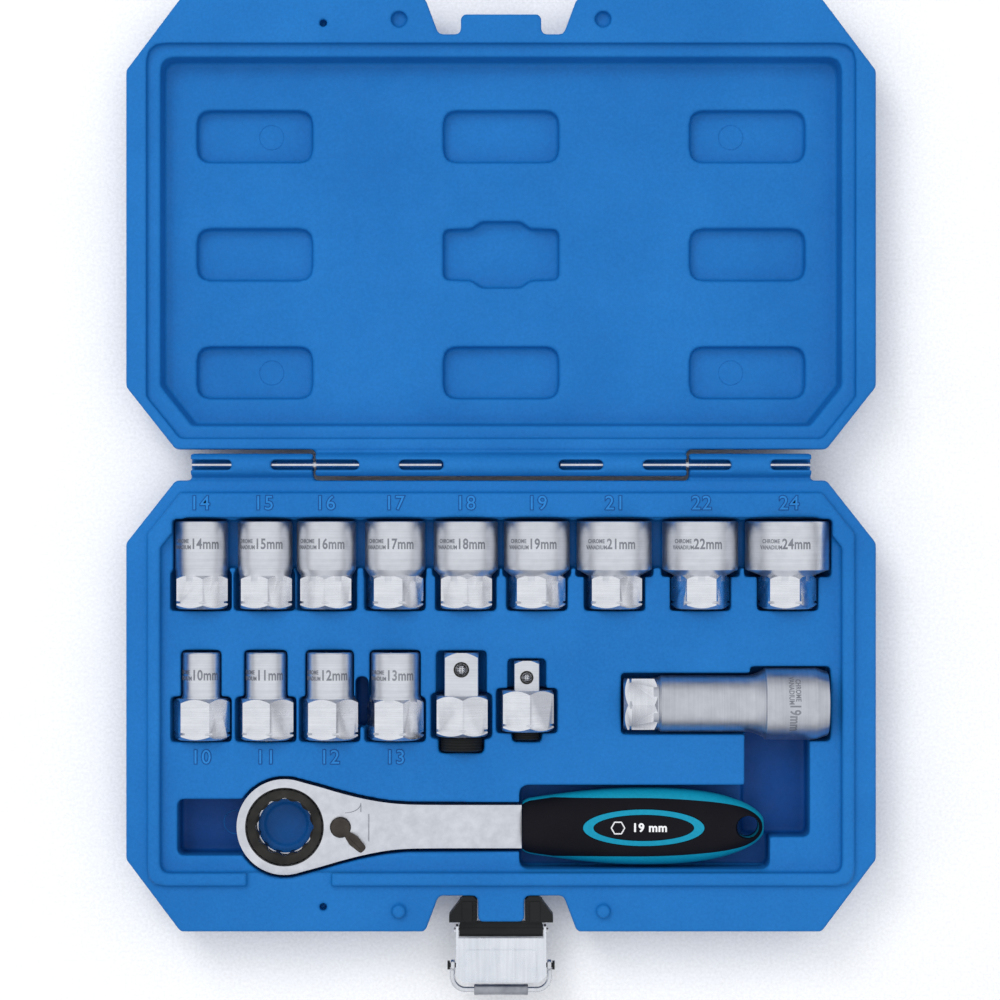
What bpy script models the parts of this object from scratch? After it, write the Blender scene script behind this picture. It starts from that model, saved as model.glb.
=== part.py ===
"""Socket wrench set in a moulded plastic case, lying open.

World frame, in metres: the origin is the centre of the tray half's underside, +X runs to the right,
+Y from the latch to the hinge and on over the open lid, and +Z up out of the tray.
Both halves of the case are drawn in a hinge frame: the origin on the hinge axis, "reach" the distance
from that axis across a half, and heights given above the table.
"""
import math

import bpy
from mathutils import Matrix

MM = 0.001

# case
CASE_WIDTH = 280 * MM
CASE_REACH = 174.2 * MM          # hinge axis to the front edge of a half
HALF_HEIGHT = 24.3 * MM          # underside to rim
HINGE_RISE = 0.2 * MM            # hinge axis above both rims
RIM_THICKNESS = 10 * MM
REAR_EDGE = 5.8 * MM             # hinge axis to the nearest edge of a half
FRONT_CUT_X, FRONT_CUT_Y = 20.3 * MM, 27 * MM
REAR_CUT_X, REAR_CUT_Y = 18.5 * MM, 23.4 * MM
BODY_MARGIN = 2 * MM             # the body below the rim stands this far outside the lip
BODY_CORNER = 12 * MM
BODY_DRAFT = 1.5 * MM

# lip around the tray and the ledge that takes it in the lid
LIP_HEIGHT = 2.6 * MM
LIP_WIDTH = 4.8 * MM
LIP_BACK = 10.4 * MM             # hinge axis to the back of the lip
LIP_FRONT = 156.9 * MM
LIP_HALF = 131.8 * MM
LIP_CORNER = 6.5 * MM
LIP_CUT_X, LIP_CUT_Y = 12.3 * MM, 15.3 * MM
INNER_CUT_X, INNER_CUT_Y = 9 * MM, 11.2 * MM
TRAY_BACK = 19.6 * MM            # front edge of the numbered strip behind the tray
TRAY_LEVEL = 22 * MM
LIP_FIT = 0.6 * MM
LEDGE_DEPTH, LEDGE_WIDTH = 3.4 * MM, 3.6 * MM
LID_FLOOR = 10.3 * MM            # height of the open lid's inner floor
LID_WALL_DRAFT = 1.6 * MM
RECESS_FLOOR = 4.8 * MM
RECESS_LENGTH, RECESS_WIDTH = 46 * MM, 22 * MM
RECESS_PITCH_X, RECESS_PITCH_Y = 93 * MM, 44.6 * MM
RECESS_REACH = 34.9 * MM
RECESS_CORNER = 5 * MM
RECESS_DRAFT = 1.5 * MM
BADGE_LENGTH, BADGE_WIDTH = 25 * MM, 27.5 * MM
BADGE_FALL = 0.2 * MM            # the middle recess is this much narrower at its ends

# notch and tongues at the front, for the latch
NOTCH_REACH = 160.8 * MM
NOTCH_FLOOR_HALF = 23.3 * MM
NOTCH_EDGE_HALF = 28.3 * MM
BASE_TONGUE_HALF, BASE_TONGUE_REACH = 8.6 * MM, 170.5 * MM
LID_TONGUE_HALF, LID_TONGUE_REACH = 15 * MM, 168.2 * MM

# locating pegs and the blow holes
PEG_X, PEG_REACH, PEG_RADIUS, PEG_HEIGHT = 38.1 * MM, 166.4 * MM, 2.6 * MM, 2.6 * MM
PEG_FIT = 0.5 * MM
BLOW_X, BLOW_REACH, BLOW_RADIUS, BLOW_DEPTH = -66.4 * MM, 165 * MM, 1.6 * MM, 6 * MM

# hinge
BARREL_RADIUS = 4.3 * MM
BARREL_INNER, BARREL_OUTER = 70 * MM, 115.6 * MM
BARREL_GAP = 0.8 * MM
PIN_RADIUS = 1.1 * MM
RUNNING_GAP = 0.3 * MM
PIN_INNER = 22.2 * MM
WINDOW_WIDTH = 3.8 * MM
WINDOWS = ((21.5 * MM, 38 * MM), (52.8 * MM, 85.6 * MM), (100.4 * MM, 116.5 * MM))

# tools
TOOL_AXIS = 19 * MM              # height of the sockets' and the extension's axes
POCKET_FIT = 0.5 * MM
END_FIT = 0.8 * MM
DRIVE_HEX = 19 * MM
SOCKET_LENGTH = 32.8 * MM
ROW_ONE_BACK, ROW_TWO_BACK = 21 * MM, 70 * MM
ROW_ONE_HEX, ROW_TWO_HEX = 13.4 * MM, 15.4 * MM
HEX_WEB = 4.4 * MM               # solid left between the mouth's hexagon and the shoulder
HEX_FIT = 0.2 * MM
THROUGH_RADIUS = 6.6 * MM
# size in millimetres, barrel diameter, place across the case, roll about its own axis in degrees
ROW_ONE = (
    (14, 19.8 * MM, -112.2 * MM, 7), (15, 20.4 * MM, -88.4 * MM, 9), (16, 22.2 * MM, -65.4 * MM, 0),
    (17, 22.6 * MM, -39.7 * MM, 16), (18, 24.1 * MM, -13.2 * MM, 3), (19, 24.7 * MM, 13.4 * MM, 17),
    (21, 28.2 * MM, 42.4 * MM, 9), (22, 28.4 * MM, 74.6 * MM, 30), (24, 31.6 * MM, 107.2 * MM, 20),
)
ROW_TWO = (
    (10, 14.2 * MM, -112.2 * MM, 20), (11, 15.2 * MM, -88 * MM, 11), (12, 17.2 * MM, -64.1 * MM, 15),
    (13, 18.2 * MM, -39.6 * MM, 17),
)

# square drive adapters
SQUARE_HALF, SQUARE_THREE_EIGHTHS = 12.7 * MM, 9.52 * MM
ADAPTER_HEX = 15.4 * MM
RETAINER_GAP = 0.3 * MM
HALF_X, HALF_BACK, HALF_NECK = -14.8 * MM, 70.2 * MM, 16 * MM
HALF_RETAINER, HALF_RETAINER_RADIUS = 5.4 * MM, 8 * MM
HALF_BALL_RADIUS, HALF_BALL_OUT = 2 * MM, 0.9 * MM
SMALL_X, SMALL_BACK, SMALL_NECK = 9.6 * MM, 73.2 * MM, 11 * MM
SMALL_RETAINER, SMALL_RETAINER_RADIUS = 3.2 * MM, 5 * MM
SMALL_BALL_RADIUS, SMALL_BALL_OUT = 1.6 * MM, 0.7 * MM
BALL_FIT = 0.3 * MM
BALL_PLACE = 6.2 * MM            # ball centre behind the square's end
SPRING_WIRE = 0.25 * MM

# extension
EXT_RIGHT, EXT_REACH = 122.4 * MM, 89.3 * MM
EXT_LENGTH, EXT_SOCKET, EXT_HEX = 76.7 * MM, 23.9 * MM, 12.7 * MM
EXT_SOCKET_RADIUS, EXT_TUBE_RADIUS = 13.5 * MM, 10.6 * MM
EXT_FLARE = 7.2 * MM             # hollow-sided step down from the socket to the tube

# wrench
WRENCH_X, WRENCH_REACH, WRENCH_LEVEL = -81 * MM, 135.4 * MM, 16.5 * MM
HEAD_RADIUS, HEAD_HALF = 17.9 * MM, 5.25 * MM
SHANK_HALF_WIDTH, SHANK_HALF = 8.1 * MM, 3.6 * MM
SHANK_END, TANG_END, TANG_HALF_WIDTH = 88.7 * MM, 150 * MM, 6 * MM
TANG_HALF = 3.2 * MM
GEAR_TIP, GEAR_ROOT, GEAR_TEETH = 14.6 * MM, 13.8 * MM, 36
GEAR_HUB, GEAR_HALF, TEETH_HALF = 13.9 * MM, HEAD_HALF + 0.2 * MM, 4 * MM
RING_GAP = 0.35 * MM
CIRCLIP_WIDTH, CIRCLIP_THICKNESS = 1.5 * MM, 0.7 * MM
SNAP_WIRE, SNAP_RADIUS = 0.42 * MM, 10.45 * MM
PIVOT_X, PIVOT_RADIUS = 21 * MM, 2 * MM
PAWL_HALF, PAWL_TILT = 2.5 * MM, 9
LEVER_DISC, LEVER_THICKNESS = 3.9 * MM, 1.8 * MM
LEVER_ARM, LEVER_REST = 12.4 * MM, -45
PLUNGER_RADIUS = 1 * MM
WRENCH_FIT = 1.2 * MM

# grip
GRIP_START, GRIP_LENGTH = 89 * MM, 91.3 * MM
GRIP_WIDEST = 45 * MM
GRIP_HALF_WIDTH, GRIP_START_WIDTH = 14.5 * MM, 10.1 * MM
GRIP_HALF, GRIP_START_HALF = 8.8 * MM, 7.4 * MM
CORE_HALF, PANEL_GAP = 4.9 * MM, 0.3 * MM
INLAY_X, INLAY_LENGTH, INLAY_WIDTH, INLAY_BAND = 134.2 * MM, 22.6 * MM, 6.8 * MM, 2 * MM
INLAY_BOTTOM = 7 * MM
HANG_X, HANG_RADIUS = 173.4 * MM, 4.2 * MM
GRIP_POCKET_FIT = 1.2 * MM

# wells for fingers in the tray
WELL_FLOOR = 5 * MM
RIGHT_WELL = (91 * MM, 115.4 * MM, 100 * MM, 139 * MM)
LEFT_WELL = (-121 * MM, -94 * MM, 125 * MM, 146 * MM)
PAIR_WELL = (-54.5 * MM, -49.5 * MM, 79 * MM, 98 * MM)
BARREL_CHANNEL = 8 * MM          # depth below the tray of the channel joining the first row's barrels

# latch
LATCH_REACH, LATCH_LEVEL = 174.4 * MM, 18.1 * MM
BRACKET_LOW, BRACKET_HIGH = 14.1 * MM, 23.1 * MM
BRACKET_INNER, BRACKET_SHOULDER, BRACKET_WING = 9 * MM, 14 * MM, 19.4 * MM
BRACKET_FRONT = 170.9 * MM
BARREL_HALF, LATCH_BARREL = 15.7 * MM, 2.4 * MM
LEVER_HALF, LEVER_SHEET = 16.9 * MM, 0.9 * MM
LEVER_TOP, LEVER_BOTTOM = 2 * MM, 2.8 * MM
LEVER_START, LEVER_END, LEVER_CORNER = 3.4 * MM, 19.4 * MM, 2.5 * MM
PIVOT_PIN = 0.9 * MM
RIVET_REACH, RIVET_DROP = 13.2 * MM, 0.8 * MM
BAIL_WIRE, BAIL_HALF, BAIL_LENGTH, BAIL_CORNER = 1.1 * MM, 18.3 * MM, 9.2 * MM, 5 * MM
EYE_RADIUS, EYE_THICKNESS = 2.2 * MM, 1.6 * MM
SLEEVE_RADIUS, SLEEVE_LENGTH = 2.1 * MM, 20.2 * MM

HINGE_Y = (CASE_REACH + REAR_EDGE) / 2
HINGE_Z = HALF_HEIGHT + HINGE_RISE
ABOVE = 60 * MM                  # cutters open upwards run to this height

for old in list(bpy.data.objects):
    bpy.data.objects.remove(old, do_unlink=True)
scene = bpy.context.scene
parts = bpy.data.collections.new("socket_wrench_set")
cutters = bpy.data.collections.new("cutters")
for home in (parts, cutters):
    scene.collection.children.link(home)


# ---- materials
def material(name, colour, roughness, metallic):
    made = bpy.data.materials.new(name)
    made.use_nodes = True
    shader = made.node_tree.nodes["Principled BSDF"]
    shader.inputs["Base Color"].default_value = (*colour, 1)
    shader.inputs["Roughness"].default_value = roughness
    shader.inputs["Metallic"].default_value = metallic
    made.diffuse_color = (*colour, 1)
    return made


CASE_BLUE = material("case_blue", (0.024, 0.17, 0.47), 0.5, 0)
SATIN = material("satin_chrome", (0.62, 0.63, 0.65), 0.38, 1)
BRIGHT = material("bright_steel", (0.75, 0.76, 0.78), 0.22, 1)
DARK = material("dark_steel", (0.03, 0.03, 0.035), 0.4, 0.8)
BLACK = material("black_plastic", (0.012, 0.013, 0.014), 0.45, 0)
GRIP_BLACK = material("grip_black", (0.018, 0.02, 0.024), 0.55, 0)
TEAL = material("grip_teal", (0.01, 0.25, 0.33), 0.45, 0)


# ---- building blocks
def hold(name, mesh, home=cutters):
    """An object for a mesh; cutters are hidden and drawn as wire."""
    thing = bpy.data.objects.new(name, mesh)
    home.objects.link(thing)
    if home is cutters:
        thing.hide_render = True
        thing.display_type = "WIRE"
    return thing


def finish(thing, look, place=(0, 0, 0), turn=None, parent=None):
    """Moves an object to the parts, with its material, its place and its parent."""
    if thing.name in cutters.objects:
        cutters.objects.unlink(thing)
        parts.objects.link(thing)
    thing.hide_render = False
    thing.display_type = "TEXTURED"
    thing.data.materials.clear()
    thing.data.materials.append(look)
    thing.location = place
    if turn is not None:
        thing.rotation_euler = turn
    thing.parent = parent
    return thing


def from_curve(name, curve):
    """The mesh of a curve, welded, in its own object."""
    draft = bpy.data.objects.new(name + "_curve", curve)
    scene.collection.objects.link(draft)
    bpy.context.view_layer.update()
    mesh = bpy.data.meshes.new_from_object(draft.evaluated_get(bpy.context.evaluated_depsgraph_get()))
    bpy.data.objects.remove(draft, do_unlink=True)
    thing = hold(name, mesh)
    weld = thing.modifiers.new("weld", "WELD")
    weld.merge_threshold = 0.00001
    return thing


def prism(name, outline, low, high, draft=0.0):
    """An outline in X and Y raised from low to high; draft draws the low end in on every side."""
    curve = bpy.data.curves.new(name, "CURVE")
    curve.dimensions = "2D"
    curve.fill_mode = "BOTH"
    curve.extrude = (high - low) / 2
    line = curve.splines.new("POLY")
    line.points.add(len(outline) - 1)
    for point, (x, y) in zip(line.points, outline):
        point.co = (x, y, 0, 1)
    line.use_cyclic_u = True
    thing = from_curve(name, curve)
    mesh = thing.data
    mesh.transform(Matrix.Translation((0, 0, (high + low) / 2)))
    if draft:
        xs, ys = [p[0] for p in outline], [p[1] for p in outline]
        mid_x, mid_y = (max(xs) + min(xs)) / 2, (max(ys) + min(ys)) / 2
        for vertex in mesh.vertices:
            if vertex.co.z < (low + high) / 2:
                vertex.co.x -= math.copysign(draft, vertex.co.x - mid_x)
                vertex.co.y -= math.copysign(draft, vertex.co.y - mid_y)
    return thing


def along_x(name, outline, start, end):
    """An outline in Y and Z drawn out along X."""
    thing = prism(name, outline, start, end)
    thing.data.transform(Matrix(((0, 0, 1, 0), (1, 0, 0, 0), (0, 1, 0, 0), (0, 0, 0, 1))))
    return thing


def along_y(name, outline, start, end):
    """An outline in X and Z drawn out along Y."""
    thing = prism(name, outline, -end, -start)
    thing.data.transform(Matrix.Rotation(math.pi / 2, 4, "X"))
    return thing


def box(name, low, high):
    return prism(name, rectangle(low[0], high[0], low[1], high[1]), low[2], high[2])


def rectangle(left, right, near, far):
    return [(left, near), (right, near), (right, far), (left, far)]


def ring_points(radius, sides, turn=0.0, centre=(0, 0), squash=1.0):
    angles = [turn + 2 * math.pi * n / sides for n in range(sides)]
    return [(centre[0] + radius * math.cos(a), centre[1] + squash * radius * math.sin(a)) for a in angles]


def rounded(outline, radius, steps=3):
    """An outline with every corner replaced by an arc; radius is one size or one for each corner."""
    made = []
    radii = radius if isinstance(radius, list) else [radius] * len(outline)
    for n, (x, y) in enumerate(outline):
        radius = radii[n]
        ax, ay = outline[n - 1][0] - x, outline[n - 1][1] - y
        bx, by = outline[(n + 1) % len(outline)][0] - x, outline[(n + 1) % len(outline)][1] - y
        la, lb = math.hypot(ax, ay), math.hypot(bx, by)
        ax, ay, bx, by = ax / la, ay / la, bx / lb, by / lb
        half = math.acos(max(-1, min(1, ax * bx + ay * by))) / 2
        run = min(radius / math.tan(half), 0.49 * min(la, lb))
        for step in range(steps + 1):
            t = step / steps
            p = (x + ax * run * (1 - t) ** 2 + bx * run * t ** 2, y + ay * run * (1 - t) ** 2 + by * run * t ** 2)
            made.append(p)
    return made


def grown(outline, distance):
    """An outline moved outwards by a distance, or inwards by a negative one."""
    area = sum(a[0] * b[1] - b[0] * a[1] for a, b in zip(outline, outline[1:] + outline[:1]))
    side = 1 if area > 0 else -1
    made = []
    for n, (x, y) in enumerate(outline):
        before, after = outline[n - 1], outline[(n + 1) % len(outline)]
        ax, ay = x - before[0], y - before[1]
        bx, by = after[0] - x, after[1] - y
        la, lb = math.hypot(ax, ay), math.hypot(bx, by)
        nax, nay, nbx, nby = ay / la, -ax / la, by / lb, -bx / lb
        scale = side * distance / (1 + nax * nbx + nay * nby)
        made.append((x + (nax + nbx) * scale, y + (nay + nby) * scale))
    return made


def mirrored(right):
    """The right half of an outline and its mirror image to the left."""
    return right + [(-x, y) for x, y in reversed(right)]


def lathe(name, profile, sides, closed=False):
    """A profile of (radius, height), down its outer side, turned about Z."""
    mesh = bpy.data.meshes.new(name)
    count = len(profile)
    edges = [(n, n + 1) for n in range(count - 1)] + ([(count - 1, 0)] if closed else [])
    mesh.from_pydata([(r, 0, z) for r, z in profile], edges, [])
    thing = hold(name, mesh)
    screw = thing.modifiers.new("turn", "SCREW")
    screw.steps = screw.render_steps = sides
    screw.use_merge_vertices = True
    screw.merge_threshold = 0.00001
    screw.use_normal_calculate = False
    return thing


def rod(name, radius, low, high, sides=12, centre=(0, 0)):
    """A round rod along Z."""
    return prism(name, ring_points(radius, sides, math.pi / sides, centre), low, high)


def combine(target, operation, *others):
    """Booleans on a target; each other object rides on it in the target's own frame."""
    for other in others:
        step = target.modifiers.new(other.name, "BOOLEAN")
        step.operation = operation
        step.solver = "EXACT"
        step.object = other
        other.parent = target
    return target


def wire(name, path, radius, closed=False, sides=1):
    """A round wire through points."""
    curve = bpy.data.curves.new(name, "CURVE")
    curve.dimensions = "3D"
    curve.bevel_depth = radius
    curve.bevel_resolution = sides
    curve.use_fill_caps = not closed
    line = curve.splines.new("POLY")
    line.points.add(len(path) - 1)
    for point, place in zip(line.points, path):
        point.co = (*place, 1)
    line.use_cyclic_u = closed
    return from_curve(name, curve)


def coil(name, radius, wire_radius, low, high, turns=3, steps=8):
    path = []
    for n in range(turns * steps + 1):
        a = 2 * math.pi * n / steps
        path.append((radius * math.cos(a), radius * math.sin(a), low + (high - low) * n / (turns * steps)))
    return wire(name, path, wire_radius)


def hexagon(across, turn=0.0):
    return ring_points(across / math.sqrt(3), 6, turn)


# ---- case halves, in the hinge frame
def level(height):
    """A height above the table, measured from the hinge axis instead."""
    return height - HINGE_Z


def rim_outline(tongue_half, tongue_reach):
    half = CASE_WIDTH / 2
    return mirrored([
        (half - REAR_CUT_X, REAR_EDGE), (half, REAR_EDGE + REAR_CUT_Y), (half, CASE_REACH - FRONT_CUT_Y),
        (half - FRONT_CUT_X, CASE_REACH), (NOTCH_EDGE_HALF, CASE_REACH), (NOTCH_FLOOR_HALF, NOTCH_REACH),
        (tongue_half, NOTCH_REACH), (tongue_half, tongue_reach),
    ])


def well_outline(half, back, front, cut_x, cut_y, corner, steps=3):
    """A rectangle across the case with its two rear corners cut off and its front ones rounded."""
    small = 1.5 * MM
    outline = mirrored([(half - cut_x, back), (half, back + cut_y), (half, front)])
    return rounded(outline, [small, small, corner, corner, small, small], steps)


def lip_outline():
    return well_outline(LIP_HALF, LIP_BACK, LIP_FRONT, LIP_CUT_X, LIP_CUT_Y, LIP_CORNER)


def flipped(outline, side):
    return [(x, side * y) for x, y in outline]


def barrel(name, side, left, right, target):
    """A hinge knuckle with a web into its half, united with the target."""
    start = math.asin(-1 * MM / BARREL_RADIUS)
    arc = []
    for n in range(13):
        a = start + (2 * math.pi - math.pi / 2 - start) * n / 12
        arc.append((side * BARREL_RADIUS * math.cos(a), BARREL_RADIUS * math.sin(a)))
    web = [(side * (REAR_EDGE + 2 * MM), -BARREL_RADIUS), (side * (REAR_EDGE + 2 * MM), -1 * MM)]
    combine(target, "UNION", along_x(name, arc + web, left, right))


def case_half(name, side, tongue_half, tongue_reach):
    """The rim and the drafted body below it, one half of the case without its hollows."""
    rim = rounded(rim_outline(tongue_half, tongue_reach), 1.2 * MM, 1)
    half = prism(name, flipped(rim, side), level(HALF_HEIGHT - RIM_THICKNESS), level(HALF_HEIGHT))
    below = well_outline(LIP_HALF + BODY_MARGIN, LIP_BACK - BODY_MARGIN, LIP_FRONT + BODY_MARGIN,
                         LIP_CUT_X + MM / 2, LIP_CUT_Y + MM, BODY_CORNER)
    body = prism(name + "_body", flipped(below, side), level(0), level(HALF_HEIGHT - RIM_THICKNESS / 2), BODY_DRAFT)
    combine(half, "UNION", body)
    return half


def pin_holes(half, label, places):
    for n, (left, right) in enumerate(places):
        bore = along_x(f"{label}_bore_{n}", ring_points(PIN_RADIUS + RUNNING_GAP, 8, math.pi / 8),
                       left - MM, right + MM)
        combine(half, "DIFFERENCE", bore)
        for k, (near, far) in enumerate(WINDOWS):
            for edge in ((near, far), (-far, -near)):
                low, high = max(edge[0], left - MM), min(edge[1], right + MM)
                if high - low > 2 * MM:
                    window = box(f"{label}_window_{n}{k}{'l' if low < 0 else 'r'}",
                                 (low, -WINDOW_WIDTH / 2, -1.9 * MM), (high, WINDOW_WIDTH / 2, BARREL_RADIUS * 2))
                    combine(half, "DIFFERENCE", window)


def trough(name, x, radius, near, far, axis_height, depth=None):
    """A round-bottomed pocket along the reach of the tray, straight-sided above its axis."""
    middle = level(axis_height)
    arc = [(x + radius * math.cos(a), middle + radius * math.sin(a))
           for a in [math.pi + math.pi * n / 8 for n in range(9)]]
    return along_y(name, arc + [(x + radius, level(ABOVE)), (x - radius, level(ABOVE))], -far, -near)


def tray_pocket(name, outline, floor, draft=0.0):
    return prism(name, flipped(outline, -1), level(floor), level(ABOVE), draft)


def wrench_outline():
    """Head, neck and shank seen from above, about the ring's axis."""
    top = [(HEAD_RADIUS * math.cos(a), HEAD_RADIUS * math.sin(a))
           for a in [math.radians(180 - n * 12.2) for n in range(10)]]
    neck = [(13.3 * MM, 14.9 * MM), (20.1 * MM, 12.9 * MM), (28.7 * MM, 10.7 * MM), (37.3 * MM, 9.1 * MM),
            (46 * MM, SHANK_HALF_WIDTH + 0.2 * MM)]
    return top + neck


base = case_half("case_base", -1, BASE_TONGUE_HALF, BASE_TONGUE_REACH)
combine(base, "UNION", prism("base_lip", flipped(lip_outline(), -1), level(HALF_HEIGHT - 2 * MM),
                             level(HALF_HEIGHT + LIP_HEIGHT)))
for n, x in enumerate((-PEG_X, PEG_X)):
    combine(base, "UNION", rod(f"base_peg_{n}", PEG_RADIUS, level(HALF_HEIGHT - 2 * MM),
                               level(HALF_HEIGHT + PEG_HEIGHT), 12, (x, -PEG_REACH)))
barrel("base_knuckle_left", -1, -BARREL_OUTER, -BARREL_INNER, base)
barrel("base_knuckle_right", -1, BARREL_INNER, BARREL_OUTER, base)

# the tray's hollows
inner = well_outline(LIP_HALF - LIP_WIDTH, TRAY_BACK, LIP_FRONT - LIP_WIDTH, INNER_CUT_X, INNER_CUT_Y, 3 * MM, 2)
combine(base, "DIFFERENCE", tray_pocket("tray_level", inner, TRAY_LEVEL))
hollows = []
hex_pocket = DRIVE_HEX / math.sqrt(3) + POCKET_FIT
for row, back, hex_length in ((ROW_ONE, ROW_ONE_BACK, ROW_ONE_HEX), (ROW_TWO, ROW_TWO_BACK, ROW_TWO_HEX)):
    for size, diameter, x, roll in row:
        front = back + SOCKET_LENGTH
        shoulder = front - hex_length
        hollows.append(trough(f"pocket_{size}_barrel", x, diameter / 2 + POCKET_FIT, back - END_FIT,
                              shoulder + 1.5 * MM, TOOL_AXIS))
        hollows.append(trough(f"pocket_{size}_hex", x, hex_pocket, shoulder - END_FIT, front + END_FIT, TOOL_AXIS))
channel_left = ROW_ONE[0][2] - ROW_ONE[0][1] / 4
channel_right = ROW_ONE[-1][2] + ROW_ONE[-1][1] / 4
hollows.append(tray_pocket("barrel_channel", rectangle(channel_left, channel_right, ROW_ONE_BACK - END_FIT / 2,
                           ROW_ONE_BACK + SOCKET_LENGTH - ROW_ONE_HEX - 2 * MM), TRAY_LEVEL - BARREL_CHANNEL))
for label, x, back, neck, square, tail, tail_radius in (
    ("half", HALF_X, HALF_BACK, HALF_NECK, SQUARE_HALF, HALF_RETAINER, HALF_RETAINER_RADIUS),
    ("small", SMALL_X, SMALL_BACK, SMALL_NECK, SQUARE_THREE_EIGHTHS, SMALL_RETAINER, SMALL_RETAINER_RADIUS),
):
    front = back + neck + ADAPTER_HEX
    hollows.append(trough(f"pocket_{label}_square", x, square / 2 * 1.41 + POCKET_FIT, back - END_FIT,
                          back + neck + MM, TOOL_AXIS))
    hollows.append(trough(f"pocket_{label}_hex", x, hex_pocket, back + neck - END_FIT, front + END_FIT, TOOL_AXIS))
    hollows.append(trough(f"pocket_{label}_tail", x, tail_radius + POCKET_FIT, front - MM,
                          front + tail + END_FIT, TOOL_AXIS))
ext_left = EXT_RIGHT - EXT_LENGTH
tube = EXT_TUBE_RADIUS + POCKET_FIT
flare = EXT_SOCKET_RADIUS + POCKET_FIT
socket_end = EXT_RIGHT - EXT_SOCKET - 0.75 * EXT_FLARE
for label, radius, left, right in (("tube", max(tube, hex_pocket), ext_left - END_FIT, socket_end + MM),
                                   ("socket", flare, socket_end, EXT_RIGHT + END_FIT)):
    arc = [(-EXT_REACH + radius * math.cos(a), level(TOOL_AXIS) + radius * math.sin(a))
           for a in [math.pi + math.pi * n / 8 for n in range(9)]]
    arc += [(-EXT_REACH + radius, level(ABOVE)), (-EXT_REACH - radius, level(ABOVE))]
    hollows.append(along_x(f"pocket_extension_{label}", arc, left, right))

top = wrench_outline() + [(SHANK_END + GRIP_POCKET_FIT, SHANK_HALF_WIDTH)]
plan = top + [(x, -y) for x, y in reversed(top[1:])]
plan = [(WRENCH_X + x, WRENCH_REACH - y) for x, y in grown(plan, WRENCH_FIT)]
hollows.append(tray_pocket("pocket_wrench", plan, WRENCH_LEVEL - GEAR_HALF - 0.3 * MM))
grip_left = WRENCH_X + GRIP_START - GRIP_POCKET_FIT
grip_right = WRENCH_X + GRIP_START + GRIP_LENGTH + GRIP_POCKET_FIT
grip_side = GRIP_HALF_WIDTH + GRIP_POCKET_FIT
hollows.append(tray_pocket("pocket_grip", rounded(rectangle(grip_left, grip_right, WRENCH_REACH - grip_side,
               WRENCH_REACH + grip_side), 3 * MM, 2), WRENCH_LEVEL - GRIP_HALF - 0.3 * MM))
for label, (left, right, near, far) in (("right", RIGHT_WELL), ("left", LEFT_WELL), ("pair", PAIR_WELL)):
    hollows.append(tray_pocket(f"well_{label}", rounded(rectangle(left, right, near, far), 2 * MM, 2), WELL_FLOOR))
combine(base, "DIFFERENCE", *hollows)
combine(base, "DIFFERENCE", rod("base_blow_hole", BLOW_RADIUS, level(HALF_HEIGHT - BLOW_DEPTH), level(ABOVE), 8,
                                (BLOW_X, -BLOW_REACH)))
pin_holes(base, "base", ((-BARREL_OUTER, -BARREL_INNER), (BARREL_INNER, BARREL_OUTER)))
finish(base, CASE_BLUE, (0, HINGE_Y, HINGE_Z))

lid = case_half("case_lid", 1, LID_TONGUE_HALF, LID_TONGUE_REACH)
knuckle = BARREL_INNER - BARREL_GAP
barrel("lid_knuckle", 1, -knuckle, knuckle, lid)
ledge = grown(lip_outline(), LIP_FIT)
combine(lid, "DIFFERENCE", prism("lid_ledge", ledge, level(HALF_HEIGHT - LEDGE_DEPTH), level(ABOVE)))
cavity = well_outline(LIP_HALF - LEDGE_WIDTH, LIP_BACK + LEDGE_WIDTH, LIP_FRONT - LEDGE_WIDTH, LIP_CUT_X - MM / 2,
                      LIP_CUT_Y - MM / 2, 5 * MM)
floor_cut = prism("lid_cavity", cavity, level(LID_FLOOR), level(HALF_HEIGHT + LEDGE_DEPTH), LID_WALL_DRAFT)
combine(lid, "DIFFERENCE", floor_cut)
for row in range(3):
    for column in (-1, 0, 1):
        x, y = column * RECESS_PITCH_X, RECESS_REACH + row * RECESS_PITCH_Y
        if row == 1 and column == 0:
            badge = mirrored([
                (BADGE_LENGTH / 2 - 4 * MM, -BADGE_WIDTH / 2), (BADGE_LENGTH / 2, -RECESS_WIDTH / 2),
                (RECESS_LENGTH / 2, BADGE_FALL - RECESS_WIDTH / 2), (RECESS_LENGTH / 2, RECESS_WIDTH / 2 - BADGE_FALL),
                (BADGE_LENGTH / 2, RECESS_WIDTH / 2), (BADGE_LENGTH / 2 - 4 * MM, BADGE_WIDTH / 2),
            ])
            outline = rounded([(px + x, py + y) for px, py in badge], 2 * MM, 2)
        else:
            outline = rounded(rectangle(x - RECESS_LENGTH / 2, x + RECESS_LENGTH / 2, y - RECESS_WIDTH / 2,
                                        y + RECESS_WIDTH / 2), RECESS_CORNER, 3)
        recess = prism(f"lid_recess_{row}{column + 1}", outline, level(RECESS_FLOOR), level(HALF_HEIGHT), RECESS_DRAFT)
        combine(lid, "DIFFERENCE", recess)
for n, x in enumerate((-PEG_X, PEG_X)):
    combine(lid, "DIFFERENCE", rod(f"lid_peg_hole_{n}", PEG_RADIUS + PEG_FIT,
                                   level(HALF_HEIGHT - PEG_HEIGHT - MM), level(ABOVE), 12, (x, PEG_REACH)))
combine(lid, "DIFFERENCE", rod("lid_blow_hole", BLOW_RADIUS, level(HALF_HEIGHT - BLOW_DEPTH), level(ABOVE), 8,
                               (BLOW_X, BLOW_REACH)))
pin_holes(lid, "lid", ((-knuckle, knuckle),))
finish(lid, CASE_BLUE, (0, HINGE_Y, HINGE_Z))

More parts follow.
